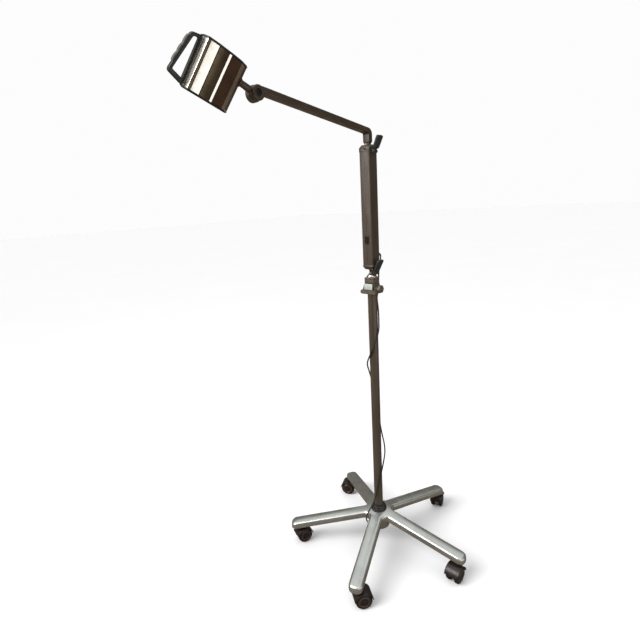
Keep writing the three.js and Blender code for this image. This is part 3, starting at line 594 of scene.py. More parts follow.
def arm_crown(x, y):
    """Extra height of the crowned top, largest on an arm's centre line and none near the hub."""
    fade_start = 60
    fade_length = 60
    radius = math.hypot(x, y)
    sector = 2 * math.pi / ARM_COUNT
    off = (math.atan2(y, x) - FIRST_ARM + sector / 2) % sector - sector / 2
    across = radius * math.sin(off) / (ARM_WIDTH / 2 - ARM_ROUNDING)
    fade = min(1, max(0, (radius - fade_start) / fade_length))
    return ARM_CROWN * fade * max(0, 1 - across ** 2)


def star_shape():
    """Five hollow arms and the hub, as one stack of rings from the boss outwards and back in over the top."""
    rings = []
    top = ARM_TIP_BOTTOM + ARM_DEPTH
    under_web = top - ARM_WALL - 1

    def level(inset, height):
        rings.append([(x, y, height + cone_height(x, y)) for x, y, _ in star_ring(inset)])

    def loft(inset, radius, heights, steps):
        outer = star_ring(inset)
        for k in range(1, steps + 1):
            t = k / steps
            ring = []
            for x, y, place in outer:
                inner_x, inner_y = around(radius, arm_angle(place))
                px = (1 - t) * x + t * inner_x
                py = (1 - t) * y + t * inner_y
                ring.append((px, py, heights(px, py)))
            rings.append(ring)

    def circle_ring(radius, height):
        rings.append([(*around(radius, arm_angle(place)), height) for _, _, place in star_ring(0)])

    def top_height(x, y):
        height = top + cone_height(x, y) + arm_crown(x, y) - ARM_CROWN
        over = height - (HUB_TOP - HUB_EDGE)
        return height if over < 0 else HUB_TOP - HUB_EDGE + HUB_EDGE * math.tanh(over / HUB_EDGE)

    def ceiling(x, y):
        return under_web + cone_height(x, y)

    circle_ring(CENTRE_HOLE, HUB_BOTTOM)
    circle_ring(HUB_BOSS_RADIUS - 2, HUB_BOTTOM)
    circle_ring(HUB_BOSS_RADIUS, HUB_BOTTOM + 2)
    under = len(rings)
    loft(ARM_WALL + 2, HUB_BOSS_RADIUS, ceiling, 20)
    rings[under:] = rings[under:][::-1]
    level(ARM_WALL + 2, under_web)
    level(ARM_WALL, ARM_TIP_BOTTOM + 1)
    level(ARM_WALL - 0.6, ARM_TIP_BOTTOM)
    level(1.2, ARM_TIP_BOTTOM)
    level(0.3, ARM_TIP_BOTTOM + 0.6)
    level(0, ARM_TIP_BOTTOM + 1.6)
    level(0, ARM_TIP_BOTTOM + 7)
    edge_steps = 7
    for k in range(edge_steps + 1):
        angle = math.pi / 2 * k / edge_steps
        inset = ARM_ROUNDING * (1 - math.cos(angle))
        level(inset, top - ARM_CROWN - ARM_ROUNDING * (1 - math.sin(angle)))
    loft(ARM_ROUNDING, 25, top_height, 26)
    circle_ring(POLE_SOCKET + 1.2, HUB_TOP)
    circle_ring(POLE_SOCKET, HUB_TOP - 1)
    circle_ring(POLE_SOCKET, POLE_BOTTOM)
    circle_ring(CENTRE_HOLE, POLE_BOTTOM)
    vertices = [point for ring in rings for point in ring]
    faces = skin(len(rings), len(rings[0]))
    return vertices, faces, [0] * len(faces)


def stem_bosses():
    """A tube in the end of each arm, which takes the castor's stem."""
    boss = lathe([(5.4, 61), (11, 61), (12, 62), (12.5, 82), (5.4, 82), (5.4, 61)], 32)
    shapes = []
    for arm in range(ARM_COUNT):
        centre = (*around(CASTOR_RING, arm_angle(arm)), 0)
        shapes.append(placed(boss, Matrix.Translation(centre)))
    return together(*shapes)


def power_cord_points():
    """Down the pole with one and a half turns round it, then out between two arms and in under the web."""
    # radius from the pole's axis, degrees round it, height
    run = [(19, -9, 845), (17.5, -30, 815), (17, -47, 780), (17, -85, 745), (17, -143, 703), (18, -190, 672),
           (22, -227, 643), (19.5, -262, 612), (17.4, -293, 575), (17, -323, 520), (17, -353, 455),
           (19, -385, 400), (24, -403, 362), (24.5, -410, 330), (19.5, -432, 298), (17, -468, 262),
           (17, -503, 225), (19, -525, 190), (27, -540, 162), (42, -550, 138), (53, -553.7, 118),
           (54, -553.7, 104), (50, -553.7, 94), (43, -553.7, 87)]
    return [(*around(radius, math.radians(degrees)), height) for radius, degrees, height in run]


def cord(name, points):
    path = smooth_path(points, steps=36)
    return new_object(name, sweep(circle(CORD_RADIUS, 14), stations_along(path)), crease=60)


def build_base():
    star = new_object("star_base_casting", together(star_shape(), stem_bosses()), crease=40)
    add(star, "base", "cast_aluminium", ["star_base"])
    inner, edge = POLE_RADIUS - 2, 0.3
    pole = [(inner, POLE_BOTTOM), (POLE_RADIUS - edge, POLE_BOTTOM), (POLE_RADIUS, POLE_BOTTOM + edge),
            (POLE_RADIUS, POLE_TOP - edge), (POLE_RADIUS - edge, POLE_TOP), (inner, POLE_TOP),
            (inner, POLE_BOTTOM)]
    add(new_object("pole_tube", lathe(pole)), "base", "painted_metal", ["pole"])
    collar = [(14.3, 128.3), (25.4, 128.3), (26, 129), (25.8, 131), (24.4, 133.5), (23.6, 134.2), (23, 136.5),
              (21, 140), (20, 141.4), (18.6, COLLAR_TOP), (14.8, COLLAR_TOP), (14.3, 141.2), (14.3, 128.3)]
    add(new_object("pole_collar_ring", lathe(collar)), "base", "black_plastic", ["pole_collar"])


# ---- castors ----
def castor_frame(number):
    """Stem axis on the floor with +X along the trailing direction, from the castor's two joints."""
    stem = point_of(f"castor_{number}_swivel")
    axle = point_of(f"castor_{number}_roll")
    heading = math.atan2(axle.y - stem.y, axle.x - stem.x)
    return Matrix.Translation((stem.x, stem.y, 0)) @ Matrix.Rotation(heading, 4, "Z")


def wheel_shape():
    """Both wheels of a castor on one axle; the faces numbered 1 are the lighter ring on each disc."""
    half = [(0, 21.2), (4.2, 21.2), (5, 20.4), (6, 20.2), (12.6, 20.4), (13.6, 21.3), (16.6, 21.4),
            (17.6, 20.4), (21, 20.0), (23.2, 18.9), (24.5, 17.2), (WHEEL_RADIUS, 15), (WHEEL_RADIUS, 10.6),
            (24.3, 8.9), (22.8, 8), (5, 8)]
    ring = [0, 0, 0, 0, 1, 1, 1] + [0] * 8
    other = [(r, -y) for r, y in half][::-1]
    return lathe(half + other, 56, ring + [0] + ring[::-1])


def hood_shape():
    """Fender over both wheels, the web between them and the boss round the stem."""
    outer, inner = WHEEL_RADIUS + 3.4, WHEEL_RADIUS + 1.1
    steps = 22
    start, finish = math.radians(8), math.radians(172)

    def arc(radius, first, last, count):
        return [around(radius, first + (last - first) * k / count, CASTOR_TRAIL, WHEEL_RADIUS)
                for k in range(count + 1)]

    fender = arc(outer, start, finish, steps) + arc(inner, start, finish, steps)[::-1]
    web = arc(outer - 1, math.radians(20), finish, steps) + arc(10, math.radians(200), math.radians(380), 12)
    boss = [(5.3, 44), (10, 44), (10.4, 50), (10, 56.2), (9, 57.5), (5.3, 57.5), (5.3, 44)]
    return together(
        placed(plate([fender], -WHEEL_OUTER, WHEEL_OUTER, 0.8), TOWARDS_MINUS_Y),
        placed(plate([web], -6.4, 6.4, 0.6), TOWARDS_MINUS_Y),
        lathe(boss, 36),
    )


def build_castors():
    """Each castor's hood and stem on one body and its wheels on another."""
    disc_ring = surface("castor_ring", (0.065, 0.04, 0.034), (0.045, 0.028, 0.024), 0.35, patch=10, grain=0.5,
                        worn=(0.16, 0.11, 0.1))
    wheels = wheel_shape()
    hood = hood_shape()
    stem = [(0, 44.6), (5, 44.6), (5, 58), (8, 58), (8.2, 58.4), (8.2, 59), (7.8, 59.3), (5, 59.3), (5, 75),
            (4.2, 76), (0, 76)]
    for number in range(1, ARM_COUNT + 1):
        place = ABOVE_FLOOR @ castor_frame(number)
        body = f"castor_{number}"
        shell = new_object(f"castor_{number}_fork_hood", hood, place)
        add(shell, body, "castor_plastic", [f"castor_{number}_hood"])
        pin = new_object(f"castor_{number}_pin", lathe(stem, 32), place)
        add(pin, body, "steel", [f"castor_{number}_stem"])
        at_axle = place @ Matrix.Translation((CASTOR_TRAIL, 0, WHEEL_RADIUS)) @ TOWARDS_MINUS_Y
        pair = new_object(f"castor_{number}_twin_wheels", wheels, at_axle, crease=30)
        add(pair, f"castor_{number}_wheel_pair", "castor_plastic", [f"castor_{number}_wheels"],
            [MATERIALS["castor_plastic"], disc_ring])


# ---- adapter ----
def box_shape(x0, x1, y0, y1, z0, z1):
    return prism([(x0, y0), (x1, y0), (x1, y1), (x0, y1)], z0, z1)


def tapered(low, high):
    """Block between two rectangles given as (x0, x1, y0, y1, z)."""
    vertices = []
    for x0, x1, y0, y1, z in (low, high):
        vertices += [(x0, y0, z), (x1, y0, z), (x1, y1, z), (x0, y1, z)]
    faces = caps(2, 4) + skin(2, 4)
    return vertices, faces, [0] * len(faces)


def build_adapter():
    """Socket casting, bored for the pole and the spigot, the bright ring on top and the knob in its side."""
    flange = rounded_box_outline(-22.6, 31.6, FLANGE_BOTTOM + 0.3, FLANGE_TOP - 0.3, 6.2, 8)
    upright = Matrix(((0, 0, 1, 0), (1, 0, 0, 0), (0, 1, 0, 0), (0, 0, 0, 1)))
    cheek = [(11, 10), (11, 22), (9.5, 23.4), (0, 23.4), (0, 10), (11, 10)]
    casting = new_object("socket_casting_body", together(
        placed(prism(flange, -16.8, 16.8), upright),
        tapered((-16.8, 16.8, -21.5, 21.5, FLANGE_TOP - 3), (-15.8, 15.8, -15.8, 15.8, BLOCK_TOP - 0.2)),
        placed(lathe(cheek, 40), Matrix.Translation((0, 0, KNOB_HEIGHT - 3)) @ TOWARDS_MINUS_Y)))
    fused(casting, voxel=0.7, passes=8)
    pole_bore, spigot_bore, step = 14.35, 8.3, POLE_TOP + 0.3
    bore = lathe([(0, 850), (pole_bore, 850), (pole_bore, step), (spigot_bore, step), (spigot_bore, 900),
                  (0, 900)], 48)
    bore = new_object("bore", bore)
    screw = lathe([(0, 5), (3.3, 5), (3.3, 30), (0, 30)], 24)
    screw = new_object("screw", placed(screw, AT_KNOB))
    add(carve(casting, bore, screw), "adapter", "cast_paint", ["socket_casting"])
    dome = [(6.3, 912.3), (14.8, 912.3), (15, 912.6), (15, 914), (14.6, 915.2), (14, 916.6), (12.9, 918.2),
            (11.4, 919.6), (9.8, 920.5), (8.4, DOME_TOP), (6.6, DOME_TOP), (6.3, 920.7), (6.3, 912.3)]
    add(new_object("dome_ring_turned", lathe(dome), crease=45), "adapter", "bright_metal", ["dome_ring"])
    build_knob()


def build_knob():
    """Six-lobed grip on a plain shank."""
    lobes, middle_radius, lobe_depth = 6, 11.2, 0.8
    count = 96
    # share of the full radius, distance from the pole's axis
    profile = [(0, 35.3), (0.5, 35.3), (0.8, 35.1), (0.93, 34.5), (0.985, 33.6), (1, 32), (1, 27),
               (0.97, 25.4), (0.9, 24.6), (0.6, 24.3), (0, 24.3)]
    vertices = []
    for share, height in profile:
        for k in range(count):
            angle = 2 * math.pi * k / count
            radius = max(CENTRE_HOLE, share * (middle_radius + lobe_depth * math.cos(lobes * angle)))
            vertices.append((*around(radius, angle), height))
    faces = skin(len(profile), count)
    grip = (vertices, faces, [0] * len(faces))
    shank = lathe([(0, 14.4), (3, 14.4), (3, 25), (0, 25)], 24)
    knob = new_object("clamp_knob_grip", placed(together(grip, shank), AT_KNOB))
    add(knob, "knob", "cast_paint", ["clamp_knob"])


# ---- column ----
def build_column():
    """Square tube with a groove down one face and a window for the switch; the spigot; the cord gland."""
    half = COLUMN_HALF
    outline = rounded_box_outline(-half, half, -half, half, 2.5, 8)
    groove = [(-half, 0.7), (-half + 0.7, 0.5), (-half + 0.7, -0.5), (-half, -0.7)]
    split = next(k for k, (x, y) in enumerate(outline) if x == min(p[0] for p in outline) and y < 0)
    outline = outline[:split] + groove + outline[split:]
    tube = new_object("column_extrusion", prism(outline, TUBE_BOTTOM, TUBE_TOP))
    inside = half - 2
    hollow = new_object("hollow", box_shape(-inside, inside, -inside, inside, TUBE_BOTTOM - 1, TUBE_TOP + 1))
    window = box_shape(-half - 2, -inside + 2, -6, 6, SWITCH_HEIGHT - 10, SWITCH_HEIGHT + 10)
    window = new_object("window", window)
    add(carve(tube, hollow, window), "column", "painted_metal", ["column_tube"])
    spigot = [(0, 888), (6, 888), (6, 921.3), (8.6, 921.3), (9, 921.8), (8.8, 923.6), (7, 925), (6.4, 927),
              (7, 931), (8.8, 934.8), (9, 935.7), (6, 935.7), (6, 955), (0, 955)]
    add(new_object("spigot_turned", lathe(spigot), crease=50), "column", "painted_metal", ["spigot"])
    gland = [(4, 14), (4, 17.8), (5.3, 17.8), (5.6, 18.2), (5.6, 22.6), (5, 23.4), (4.6, 24), (4.4, 25.4),
             (4.7, 26), (4.2, 27.4), (4.4, 28), (3.9, 30), (2.6, 30), (2.6, 14), (4, 14)]
    at_gland = Matrix.Translation((0, GLAND_Y, GLAND_HEIGHT)) @ TOWARDS_X
    add(new_object("cord_gland_sleeve", placed(lathe(gland, 40), at_gland)), "column", "black_plastic",
        ["cord_gland"])


def lever_shape():
    """Clamp paddle about its pivot, leaning side towards -Y, with four raised ribs on the front."""
    top = LEVER_LENGTH
    edge = [(5.2, 0), (5.2, 8), (11.6, 8.6), (12.4, 14), (13, top - 7), (12.6, top - 1.6), (9, top)]
    outline = [(-5.2, 0)] + edge + [(-x, y) for x, y in edge[:0:-1]]
    paddle = placed(plate([soften_corners(outline, 1.8, 4)], -3.4, 2.8, 1.5), TOWARDS_MINUS_Y)
    ribs = []
    for middle in (-9, -3, 3, 9):
        low = 16 if abs(middle) > 5 else 13
        rib = rounded_box_outline(middle - 1.9, middle + 1.9, low, top - 3.5, 1.8, 5)
        ribs.append(placed(plate([rib], 1.6, 3.5, 0.7), TOWARDS_MINUS_Y))
    barrel = lathe([(0, -5.2), (4.2, -5.2), (4.6, -4.8), (4.6, 4.8), (4.2, 5.2), (0, 5.2)], 40)
    return together(paddle, placed(barrel, TOWARDS_X), *ribs)


def build_levers():
    """The two clamp levers, each on its own body, and their pins, which stay on the column."""
    pin = lathe([(0, -10.2), (2.7, -10.2), (3, -9.9), (3, -8.8), (1.6, -8.8), (1.6, 8.8), (3, 8.8), (3, 9.9),
                 (2.7, 10.2), (0, 10.2)], 32)
    for side in ("lower", "upper"):
        pivot = Matrix.Translation(point_of(f"{side}_lever_clamp"))
        place = pivot @ Matrix.Rotation(LEVER_LEAN, 4, "X")
        paddle = new_object(f"{side}_lever_paddle", placed(lever_shape(), place), crease=40)
        add(paddle, f"{side}_clamp", "lever_plastic", [f"{side}_lever"])
        add(new_object(f"{side}_lever_axle", placed(pin, pivot @ TOWARDS_X)), "column", "black_plastic",
            [f"{side}_lever_pin"])


# ---- cords ----
def build_cords():
    """One cable in two pieces, fixed to no body, each crossing one joint."""
    upper = [(16, GLAND_Y, GLAND_HEIGHT), (24, GLAND_Y, GLAND_HEIGHT), (31.5, GLAND_Y, GLAND_HEIGHT),
             (35, -8, 971), (33.5, -7.5, 955), (29.5, -7, 940), (27, -6, 925.7), (26, -5, 900)]
    lower = [(26.1, -5.1, 902), (26, -5, 900), (24, -4, 872)] + power_cord_points()
    head_cord = add(cord("cord_from_column", upper), None, "cord_rubber", ["cord_upper"])
    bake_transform(head_cord)
    mains = add(cord("cord_to_floor", lower), None, "cord_rubber", ["cord_middle", "power_cord"])
    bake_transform(mains)


# ---- boom ----
def boom_path():
    """Centre line: up the foot, round a bend, then straight to the knuckle. Also its direction and end."""
    knuckle = point_of("neck_tilt")
    end = Vector((knuckle.x, 0, knuckle.z + BOOM_OVER_KNUCKLE))
    corner = Vector((0, 0, BOOM_AXIS_HEIGHT))
    run = (end - corner).normalized()
    reach, knuckle_gap = 10, 2.5
    bend_steps, run_steps = 10, 12
    first = corner - Vector((0, 0, reach))
    last = corner + run * reach
    points = [Vector((0, 0, BOOM_FOOT + rise)) for rise in (0, 2, 5)]
    for k in range(bend_steps + 1):
        t = k / bend_steps
        points.append((1 - t) ** 2 * first + 2 * t * (1 - t) * corner + t * t * last)
    full_end = corner + run * ((end - corner).length - NECK_DISC_RADIUS - knuckle_gap)
    for k in range(1, run_steps + 1):
        points.append(last.lerp(full_end, k / run_steps))
    return points, run, full_end


def build_boom():
    """Flat bar that ends in a tongue and one knuckle disc, with its spigot and the knuckle's bolt."""
    points, run, full_end = boom_path()
    half, thick = BOOM_HALF, BOOM_THICKNESS / 2
    stations = stations_along(points, up=Vector((1, 0, 0)))
    for k, narrower in ((0, 4), (1, 1.6)):
        stations[k] = stations[k] @ Matrix.Diagonal((1, 1 - narrower / half, 1 - narrower / 4 / thick, 1))
    bar = sweep(rounded_box_outline(-half, half, -thick, thick, 2.4, 5), stations)
    knuckle = point_of("neck_tilt")
    tongue_end = full_end + run * (NECK_DISC_RADIUS - BOLT_RECESS + 1)
    tongue = sweep(rounded_box_outline(1, half - 0.2, 0.2 - thick, thick - 0.2, 2, 4),
                   stations_along([full_end - run * 14, full_end, tongue_end]))
    disc = lathe([(0, 0.8), (KNUCKLE_RADIUS - 0.6, 0.8), (KNUCKLE_RADIUS, 1.4), (KNUCKLE_RADIUS, half - 2.2),
                  (KNUCKLE_RADIUS - 0.7, half - 0.7), (KNUCKLE_RADIUS - 2.2, half), (BOLT_RECESS + 0.4, half),
                  (BOLT_RECESS, half - 0.4), (BOLT_RECESS, BOLT_RECESS), (0, BOLT_RECESS)], 72)
    at_knuckle = Matrix.Translation(knuckle) @ TOWARDS_MINUS_Y
    boom = new_object("boom_bar", together(bar, tongue, placed(disc, at_knuckle)), crease=40)
    add(boom, "boom_arm", "painted_metal", ["boom"])
    spigot = [(0, 1250), (6, 1250), (6, 1278.3), (8.6, 1278.3), (9, 1278.7), (9, 1280.6), (8.6, 1281),
              (0, 1281)]
    add(new_object("boom_spigot_turned", lathe(spigot)), "boom_arm", "steel", ["boom_spigot"])
    bolt = lathe([(0, 8.3), (7.3, 8.3), (7.5, 8.6), (7.5, 10.6), (7, 11.1), (4.4, 11.2), (4, 11), (3.6, 9.4),
                  (0, 9.2)], 48)
    shank = lathe([(0, -21.5), (4, -21.5), (4, 9), (0, 9)], 32)
    fastener = new_object("knuckle_bolt_head", placed(together(bolt, shank), at_knuckle))
    add(fastener, "boom_arm", "black_plastic", ["knuckle_bolt"])


# ---- neck and head ----
def build_neck():
    """The other knuckle disc and the round neck as one casting, with the tenon that enters the head."""
    back = -NECK_DISC_BACK
    disc = lathe([(0, back), (NECK_DISC_RADIUS - 2, back), (NECK_DISC_RADIUS, back + 2),
                  (NECK_DISC_RADIUS, -1.4), (NECK_DISC_RADIUS - 0.6, -0.8), (0, -0.8)], 64)
    end = -NECK_LENGTH
    arm = lathe([(0, end + 0.3), (10, end + 0.3), (10, end + 3.6), (8.4, end + 5.2), (7, end + 7), (7, -20),
                 (6, -12), (0, -12)], 48)
    neck = new_object("neck_casting", together(
        placed(disc, KNUCKLE @ TOWARDS_MINUS_Y),
        placed(arm, KNUCKLE @ TOWARDS_X),
        placed(box_shape(-27, -8, 1.0, 6.5, -5.5, 5.5), KNUCKLE)))
    fused(neck, voxel=0.7)
    tenon = lathe([(0, end - 10), (4.2, end - 10), (4.6, end - 9.6), (4.6, end + 1), (0, end + 1)], 32)
    tenon = new_object("neck_tenon", placed(tenon, KNUCKLE @ TOWARDS_X))
    add(neck, "neck_arm", "painted_metal", ["neck"])
    add(tenon, "neck_arm", "steel")


def head_x(s):
    """Place along the neck's axis of a point s millimetres from the handle end of the housing."""
    return s - NECK_LENGTH - HEAD_LENGTH


def glass_side(s):
    """Depth of the housing's open side, which grows towards the neck."""
    return -4 - LENS_DROP * s / HEAD_LENGTH


# Outside of the ribbed housing as (s, t) with the number of the finish that starts there; stripe by stripe, these
# finishes carry painted highlight, reflection and shade.
RIBS = [
    (0.8, glass_side(0.8), 2), (0.8, 8.4, 4), (1.5, 8.8, 4), (1.5, 9.6, 4), (0.8, 10, 0), (0.8, 24.5, 0),
    (1.2, 25.2, 1), (1.9, 25.2, 1), (2.3, 24.4, 1), (6.2, 25.3, 1), (6.8, 26.4, 0), (7.4, 26.7, 0),
    (22.6, 29.4, 0), (23.3, 29.5, 4), (23.4, 28.4, 4), (25.1, 28.3, 4), (25.2, 29.3, 1), (47.4, 26.9, 1),
    (47.9, 26.5, 4), (48.3, 26.7, 0), (53.2, 26.3, 0), (53.7, 25.6, 5), (81.2, 16.6, 5), (82.6, 15.2, 5),
    (83, 15.6, 3), (96.6, 3.9, 3), (97.2, 2.9, 5), (HEAD_LENGTH, -5.4, 5),
    (HEAD_LENGTH, glass_side(HEAD_LENGTH), 5),
]


def build_housing():
    """One extrusion with a hole for the tenon; its stripes are separate materials whose colours carry painted
    highlight, reflection and shade.
    """
    neck_end, far_end = HEAD_LENGTH - HEAD_WALL, 3.3
    inside = [(neck_end, glass_side(neck_end)), (neck_end, -6.6), (81.0, 13.6), (52.4, 23.7), (23.5, 26.8),
              (far_end, 22.6), (far_end, glass_side(far_end))]
    outline = [(head_x(s), t + HEAD_RISE) for s, t in [(s, t) for s, t, _ in RIBS] + inside]
    vertices, faces, numbers = prism(outline, -HEAD_HALF - HEAD_OFFSET, HEAD_HALF - HEAD_OFFSET)
    numbers[:len(RIBS)] = [number for _, _, number in RIBS]
    shape = placed((vertices, faces, numbers), HEAD @ TOWARDS_MINUS_Y)
    housing = new_object("lamp_housing_ribbed", shape, crease=20)
    painted_light_bands = [
        # painted reflection: near-white stripes where the facets mirror a bright window
        band("band_painted_reflection", (0.96, 0.96, 0.92), (0.92, 0.91, 0.85), 0.24, 0.85),
        # the housing's brown with a painted reflection of the room, olive on these facets
        band("band_olive_tone_and_painted_reflection", (0.115, 0.084, 0.050), (0.080, 0.057, 0.033), 0.30, 0.6),
        # painted light: the grey flank lit from the left
        band("band_grey_painted_light", (0.74, 0.71, 0.63), (0.62, 0.59, 0.52), 0.36, 0.2),
        # painted shade on the dark risers
        band("band_shadow", (0.30, 0.25, 0.195), (0.22, 0.18, 0.135), 0.38, 0.3),
        # painted shade: near black in the grooves
        band("band_groove_painted_shade", (0.02, 0.014, 0.009), (0.014, 0.01, 0.007), 0.5, 0.1),
        # the housing's brown, darkened with painted shade
        band("band_bronze_tone_and_painted_shade", (0.09, 0.040, 0.020), (0.065, 0.029, 0.015), 0.35, 0.25),
    ]
    start, end, radius = -NECK_LENGTH - 8, -NECK_LENGTH + 5, 4.9
    hole = lathe([(0, start), (radius, start), (radius, end), (0, end)], 32)
    hole = new_object("hole", placed(hole, HEAD @ TOWARDS_X))
    for finish in painted_light_bands:
        housing.data.materials.append(finish)
    carve(housing, hole)
    add(housing, "head", "anodised", ["lamp_housing"], painted_light_bands)


def handle_point(point):
    """Place in the handle's plane of a point given along and across the head."""
    s, u = point
    return head_x(s), u + HANDLE_SHIFT + HEAD_OFFSET


def build_handle():
    """Closed loop with a window in it, and the finger grip with three swells along its outer side."""
    rim = [(-1, -46), (-1, 43), (-3, 44), (-18, 40.5), (-21.8, 36.5), (-34.5, -35), (-32.5, -40), (-3, -48.5)]
    window = [(-5, -38), (-5, 36.5), (-15.5, 34.5), (-28, -32)]
    half_thick, half_grip = 5.5, 4.2
    outlines = []
    for points, radius in ((rim, 3), (window, 2.5)):
        outlines.append([handle_point(point) for point in soften_corners(points, radius, 6)])
    loop = plate(outlines, HEAD_RISE - half_thick, HEAD_RISE + half_thick, 1.9, 4)
    loop = new_object("handle_loop_moulding", placed(loop, HEAD), crease=50)
    add(loop, "head", "black_plastic", ["handle_loop"])
    start, finish = Vector((-22.9, 32.5)), Vector((-32.3, -20.5))
    along = finish - start
    out = Vector((along.y, -along.x)).normalized()
    steps, swells, sunk = 60, 3, 0.6
    points = []
    for k in range(steps + 1):
        share = k / steps
        proud = 1.1 + 1.5 * abs(math.sin(swells * math.pi * share)) ** 0.7
        points.append(start + along * share + out * proud)
    points += [finish - out * sunk, start - out * sunk]
    outline = [handle_point(point) for point in points]
    grip = plate([outline], HEAD_RISE - half_grip, HEAD_RISE + half_grip, 0.5, 2)
    add(new_object("handle_grip_pad", placed(grip, HEAD), crease=50), "head", "grip_plastic", ["handle_grip"])


def lens_frame():
    """Middle of the open side, with Z pointing into the housing."""
    middle = HEAD_LENGTH / 2
    tilt = math.atan2(LENS_DROP, HEAD_LENGTH)
    centre = (head_x(middle), HEAD_OFFSET, HEAD_RISE + glass_side(middle))
    return HEAD @ Matrix.Translation(centre) @ Matrix.Rotation(tilt, 4, "Y")


def build_lamp():
    """Parabolic reflector with a hole for the lamp holder, and the bulb."""
    rim, low, depth, wall = 43, 3.2, 27, 1.2
    middle_hole, steps = 8, 24
    radii = [rim - (rim - middle_hole) * k / steps for k in range(steps + 1)]
    inside = [(r, low + depth * (1 - (r / rim) ** 2)) for r in radii]
    outside = [(r, z + wall) for r, z in inside]
    profile = [(rim + 1.3, low), (rim + 1.3, low + wall)] + outside + inside[::-1] + [(rim + 1.3, low)]
    place = lens_frame()
    add(new_object("reflector_bowl", placed(lathe(profile, 72), place), crease=50), "head", "bright_metal",
        ["reflector"])
    holder = [(0, 20), (7, 20), (7.4, 20.4), (7.4, 31.5), (10, 31.5), (10, 34), (0, 34.3)]
    holder = new_object("lamp_holder_ceramic", placed(lathe(holder, 40), place))
    add(holder, "head", "ceramic", ["lamp_holder"])
    bulb = [(0, 6), (1.6, 6.2), (3.2, 7), (4.6, 8.6), (5.4, 10.8), (5.5, 13), (5.5, 19.7), (0, 19.7)]
    add(new_object("bulb_envelope", placed(lathe(bulb, 40), place), crease=60), "head", "glass", ["bulb"])


# ---- pieces that keep their CAD shape ----
def dress_frame():
    """The nodes that no piece above replaces get the finish of their slot and slightly rounded edges."""
    slots = {part["node"]: part["material_slot"] for part in frame["record"]["subparts"]}
    for name, obj in frame["nodes"].items():
        if obj.hide_render:
            continue
        obj.data.materials.clear()
        obj.data.materials.append(MATERIALS[slots[name]])
        weld = obj.modifiers.new("weld", "WELD")
        weld.merge_threshold = 0.005 * MM
        bevel = obj.modifiers.new("bevel", "BEVEL")
        bevel.width = 0.5 * MM
        bevel.segments = 2
        bevel.limit_method = "ANGLE"
        bevel.angle_limit = math.radians(35)
        bevel.use_clamp_overlap = True
        smooth(obj, 35)


# ---- stage, in metres ----
WALLS = (0.135, 0.118, 0.096)
WALLS_END = math.radians(30)
CEILING = (1.0, 1.0, 0.98)
CEILING_START = math.radians(52)
BACKDROP = (0.98, 0.98, 0.98)
FLOOR_HALF = 40
FLOOR_GAP = 0.0005
SUN_DIRECTION = Vector((1.0, -0.35, -0.95))
LENS_LENGTH = 25.3
SENSOR_WIDTH = 36
EYE = Vector((-1.0573, -0.7968, FLOOR + 1.1259))
VIEW_RIGHT = Vector((0.682, -0.729, -0.059))
VIEW_AHEAD = Vector((0.697, 0.673, -0.247))


def area_light(name, place, target, size, power, colour):
    """Rectangular panel turned towards its target."""
    data = bpy.data.lights.new(name, "AREA")
    data.shape = "RECTANGLE"
    data.size, data.size_y = size
    data.energy = power
    data.color = colour
    lamp = in_scene(name, data)
    direction = Vector(target) - Vector(place)
    lamp.location = place
    lamp.rotation_euler = direction.to_track_quat("-Z", "Y").to_euler()


def pale_floor():
    """Pale to the camera and darker brown to reflections, as a lamp standing on paper in a dim room."""
    nodes = Nodes(bpy.data.materials.new("floor_paint"))
    clouds = nodes.noise(900, 3)
    pale = nodes.mix(clouds, (0.92, 0.925, 0.965), (0.89, 0.895, 0.935))
    dim = nodes.mix(clouds, (0.20, 0.165, 0.13), (0.17, 0.14, 0.11))
    rays = nodes.node("ShaderNodeLightPath")
    tone = nodes.mix(rays.outputs["Is Camera Ray"], dim, pale)
    rough = nodes.ramp(nodes.noise(60), 0.3, 0.7, 0.75, 0.9)
    nodes.shade(Base_Color=tone, Roughness=rough, Specular_IOR_Level=0.1)
    nodes.bump(nodes.noise(4, 2), 0.2, 0.02)
    return nodes.holder


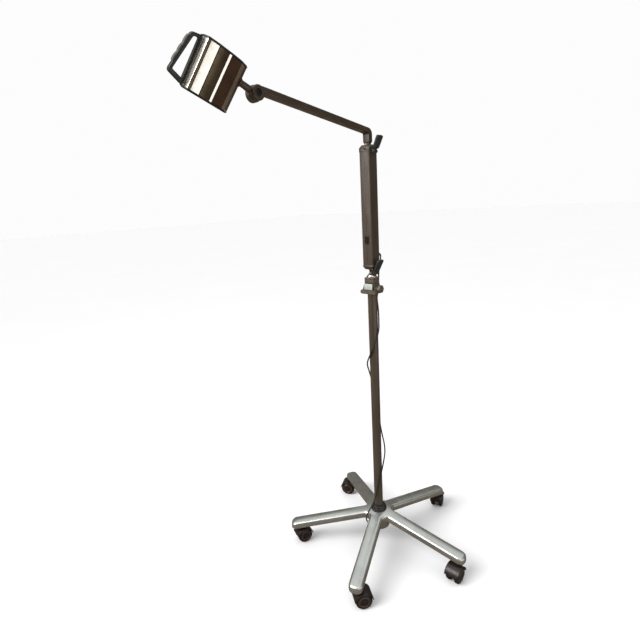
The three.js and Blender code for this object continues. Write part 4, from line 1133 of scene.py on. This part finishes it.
def studio_world():
    """White backdrop for the camera; every other ray meets dim walls below a bright ceiling."""
    world = bpy.data.worlds.new("studio")
    bpy.context.scene.world = world
    nodes = Nodes(world)
    parts = nodes.node("ShaderNodeSeparateXYZ", Vector=nodes.places["Generated"])
    height = nodes.ramp(parts.outputs["Z"], math.sin(WALLS_END), math.sin(CEILING_START))
    rays = nodes.node("ShaderNodeLightPath")
    seen = nodes.mix(rays.outputs["Is Camera Ray"], nodes.mix(height, WALLS, CEILING), BACKDROP)
    nodes.set(nodes.tree.nodes["Background"].inputs["Color"], seen)


def build_stage():
    """Pale floor, a high window on the left as the sun, and three soft panels."""
    half, level = FLOOR_HALF, FLOOR - FLOOR_GAP
    mesh = bpy.data.meshes.new("floor")
    mesh.from_pydata([(-half, -half, level), (half, -half, level), (half, half, level), (-half, half, level)],
                     [], [[0, 1, 2, 3]])
    floor = in_scene("floor", mesh)
    mesh.materials.append(pale_floor())
    studio_world()
    sun = bpy.data.lights.new("high_window", "SUN")
    sun.energy = 2.2
    sun.angle = math.radians(35)
    sun.color = (1.0, 0.985, 0.95)
    window = in_scene("high_window", sun)
    window.rotation_euler = SUN_DIRECTION.to_track_quat("-Z", "Y").to_euler()
    middle = (0, 0, 0.6)
    area_light("left_panel", (-2.4, 1.4, 1.7), middle, (0.9, 1.6), 22, (1.0, 0.99, 0.97))
    head = (-0.49, -0.04, FLOOR + 1.38)
    area_light("low_panel", (-0.24, -1.82, FLOOR + 0.5), head, (2.4, 1.0), 9, (1.0, 1.0, 0.98))
    area_light("front_panel", (-1.6, -2.6, 2.4), middle, (1.2, 1.2), 10, (1.0, 0.98, 0.95))


def build_camera():
    """On the switch side of the column, a little lower than the head."""
    data = bpy.data.cameras.new("camera")
    data.sensor_width = SENSOR_WIDTH
    data.lens = LENS_LENGTH
    camera = in_scene("camera", data)
    right = VIEW_RIGHT.normalized()
    ahead = (VIEW_AHEAD - right * VIEW_AHEAD.dot(right)).normalized()
    above = right.cross(ahead)
    turn = Matrix((right, above, -ahead)).transposed().to_4x4()
    camera.matrix_world = Matrix.Translation(EYE) @ turn
    bpy.context.scene.camera = camera
    bpy.context.scene.view_settings.view_transform = "Standard"


build_base()
build_castors()
build_adapter()
build_column()
build_levers()
build_cords()
build_boom()
build_neck()
build_housing()
build_handle()
build_lamp()
dress_frame()
build_stage()
build_camera()
